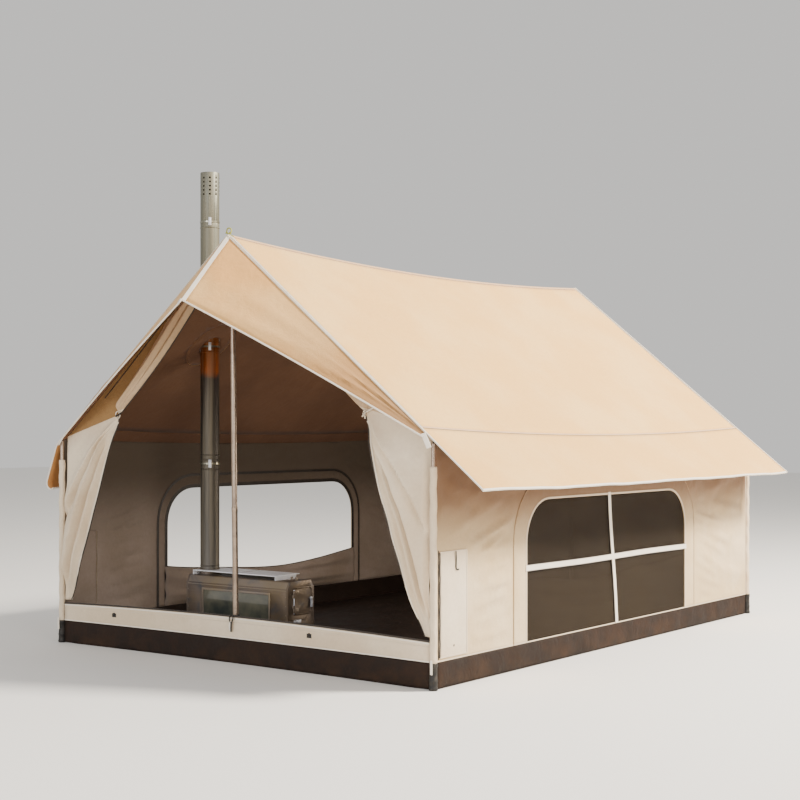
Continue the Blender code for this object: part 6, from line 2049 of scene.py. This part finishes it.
# %% Make the spring handle, the plate's seam and the knobs
latch_low, latch_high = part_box("stove_latch")
latch_y = (latch_low.y + latch_high.y) / 2
TURNS, STEPS = 9, 14  # of the spring's wire, and steps in each turn
coil = []
for step in range(TURNS * STEPS + 1):
    turn = 2 * math.pi * step / STEPS
    z = mix(latch_low.z + 0.002, latch_high.z - 0.016, step / (TURNS * STEPS))
    coil.append(
        Vector((latch_high.x - 0.0025 + 0.0058 * math.cos(turn), latch_y + 0.0072 * math.sin(turn), z))
    )
cord("latch_spring_grip", (0.0011, 6), coil, (0, 0, 1), BRIGHT_STEEL, "bright_steel", "stove_latch")

plate_low, plate_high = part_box("cook_plate")
seam_x, seam_z = mix(plate_low.x, plate_high.x, 0.53), plate_high.z - 0.0002
seam = straight((seam_x, plate_low.y + 0.002, seam_z), (seam_x, plate_high.y - 0.002, seam_z), 10)
tape("plate_seam", (0.003, 0.0008), seam, (0, 0, 1), STOVE_STEEL, "stove_steel")
knob_profile = [(0, 0), (0.009, 0), (0.009, 0.003), (0.005, 0.005)]
knob_profile += [(0.0045, 0.010), (0.008, 0.012), (0.008, 0.016), (0, 0.017)]
for index, x in enumerate((plate_high.x + 0.030, plate_high.x + 0.062)):
    knob = turned(knob_profile, 28, (x, FLUE_Y + 0.01, box_high.z))
    piece(f"top_knob_{index}", knob, HEADER_STEEL, "bright_steel")
tell("latch, seam and knobs")
print("pieces in all:", len(made_pieces))

# %% [markdown]
# ## Studio
# The floor is pale and plain. The camera stands where the photograph was taken from: at chest height, off the
# right front corner. The key light is high on the right and a little behind the tent, as the sun is in the
# photograph, so the right slope is bright and the inside stays dark. A soft fill from the front and a weak
# light from the right show the doors and the right wall. A small warm lamp inside stands for the daylight of
# the right window.

# %% Floor, lights and camera
bpy.ops.mesh.primitive_plane_add(size=60, location=(0, 0, -0.0005))
ground = bpy.context.object
ground.name = "studio_floor"
paint, _ = finish_named("studio_floor_paint", base_color=colour("#ECEAE6"), roughness=0.9)
ground.data.materials.append(paint)

world = bpy.data.worlds.new("studio")
world.use_nodes = True
world.node_tree.nodes["Background"].inputs["Color"].default_value = colour("#F7F5F2")
world.node_tree.nodes["Background"].inputs["Strength"].default_value = 0.80
bpy.context.scene.world = world


def lamp(name, spot, target, size, power, tint):
    light = bpy.data.lights.new(name, "AREA")
    light.shape, light.size, light.energy, light.color = "DISK", size, power, colour(tint)[:3]
    made = bpy.data.objects.new(name, light)
    made.location = spot
    made.rotation_euler = (Vector(target) - Vector(spot)).to_track_quat("-Z", "Y").to_euler()
    bpy.context.scene.collection.objects.link(made)


lamp("key", (6.6, 2.8, 7.2), (0.4, 0.0, 0.9), 2.0, 2900, "#FFF6E8")
lamp("fill", (1.0, -10.0, 3.0), (-0.4, -0.8, 0.6), 4.0, 320, "#FAFAFF")
lamp("side", (8.0, -5.0, 2.5), (0.6, -0.3, 0.5), 3.0, 150, "#FFF6EA")
lamp("window", (0.95, 0.45, 0.75), (-0.9, -0.3, 0.55), 0.8, 18, "#FFF2E2")

camera_data = bpy.data.cameras.new("camera")
camera_data.lens = 65.65  # fitted, as is the place below, to the tent's corners in the photograph
camera_data.sensor_width = 36
camera_data.shift_y = 0.0374
camera = bpy.data.objects.new("camera", camera_data)
camera.location = (4.8248, -6.7523, 1.1182)
camera.rotation_euler = (math.radians(90), 0, math.radians(36.70))
bpy.context.scene.collection.objects.link(camera)
bpy.context.scene.camera = camera
print("lights:", [light.name for light in bpy.data.lights])
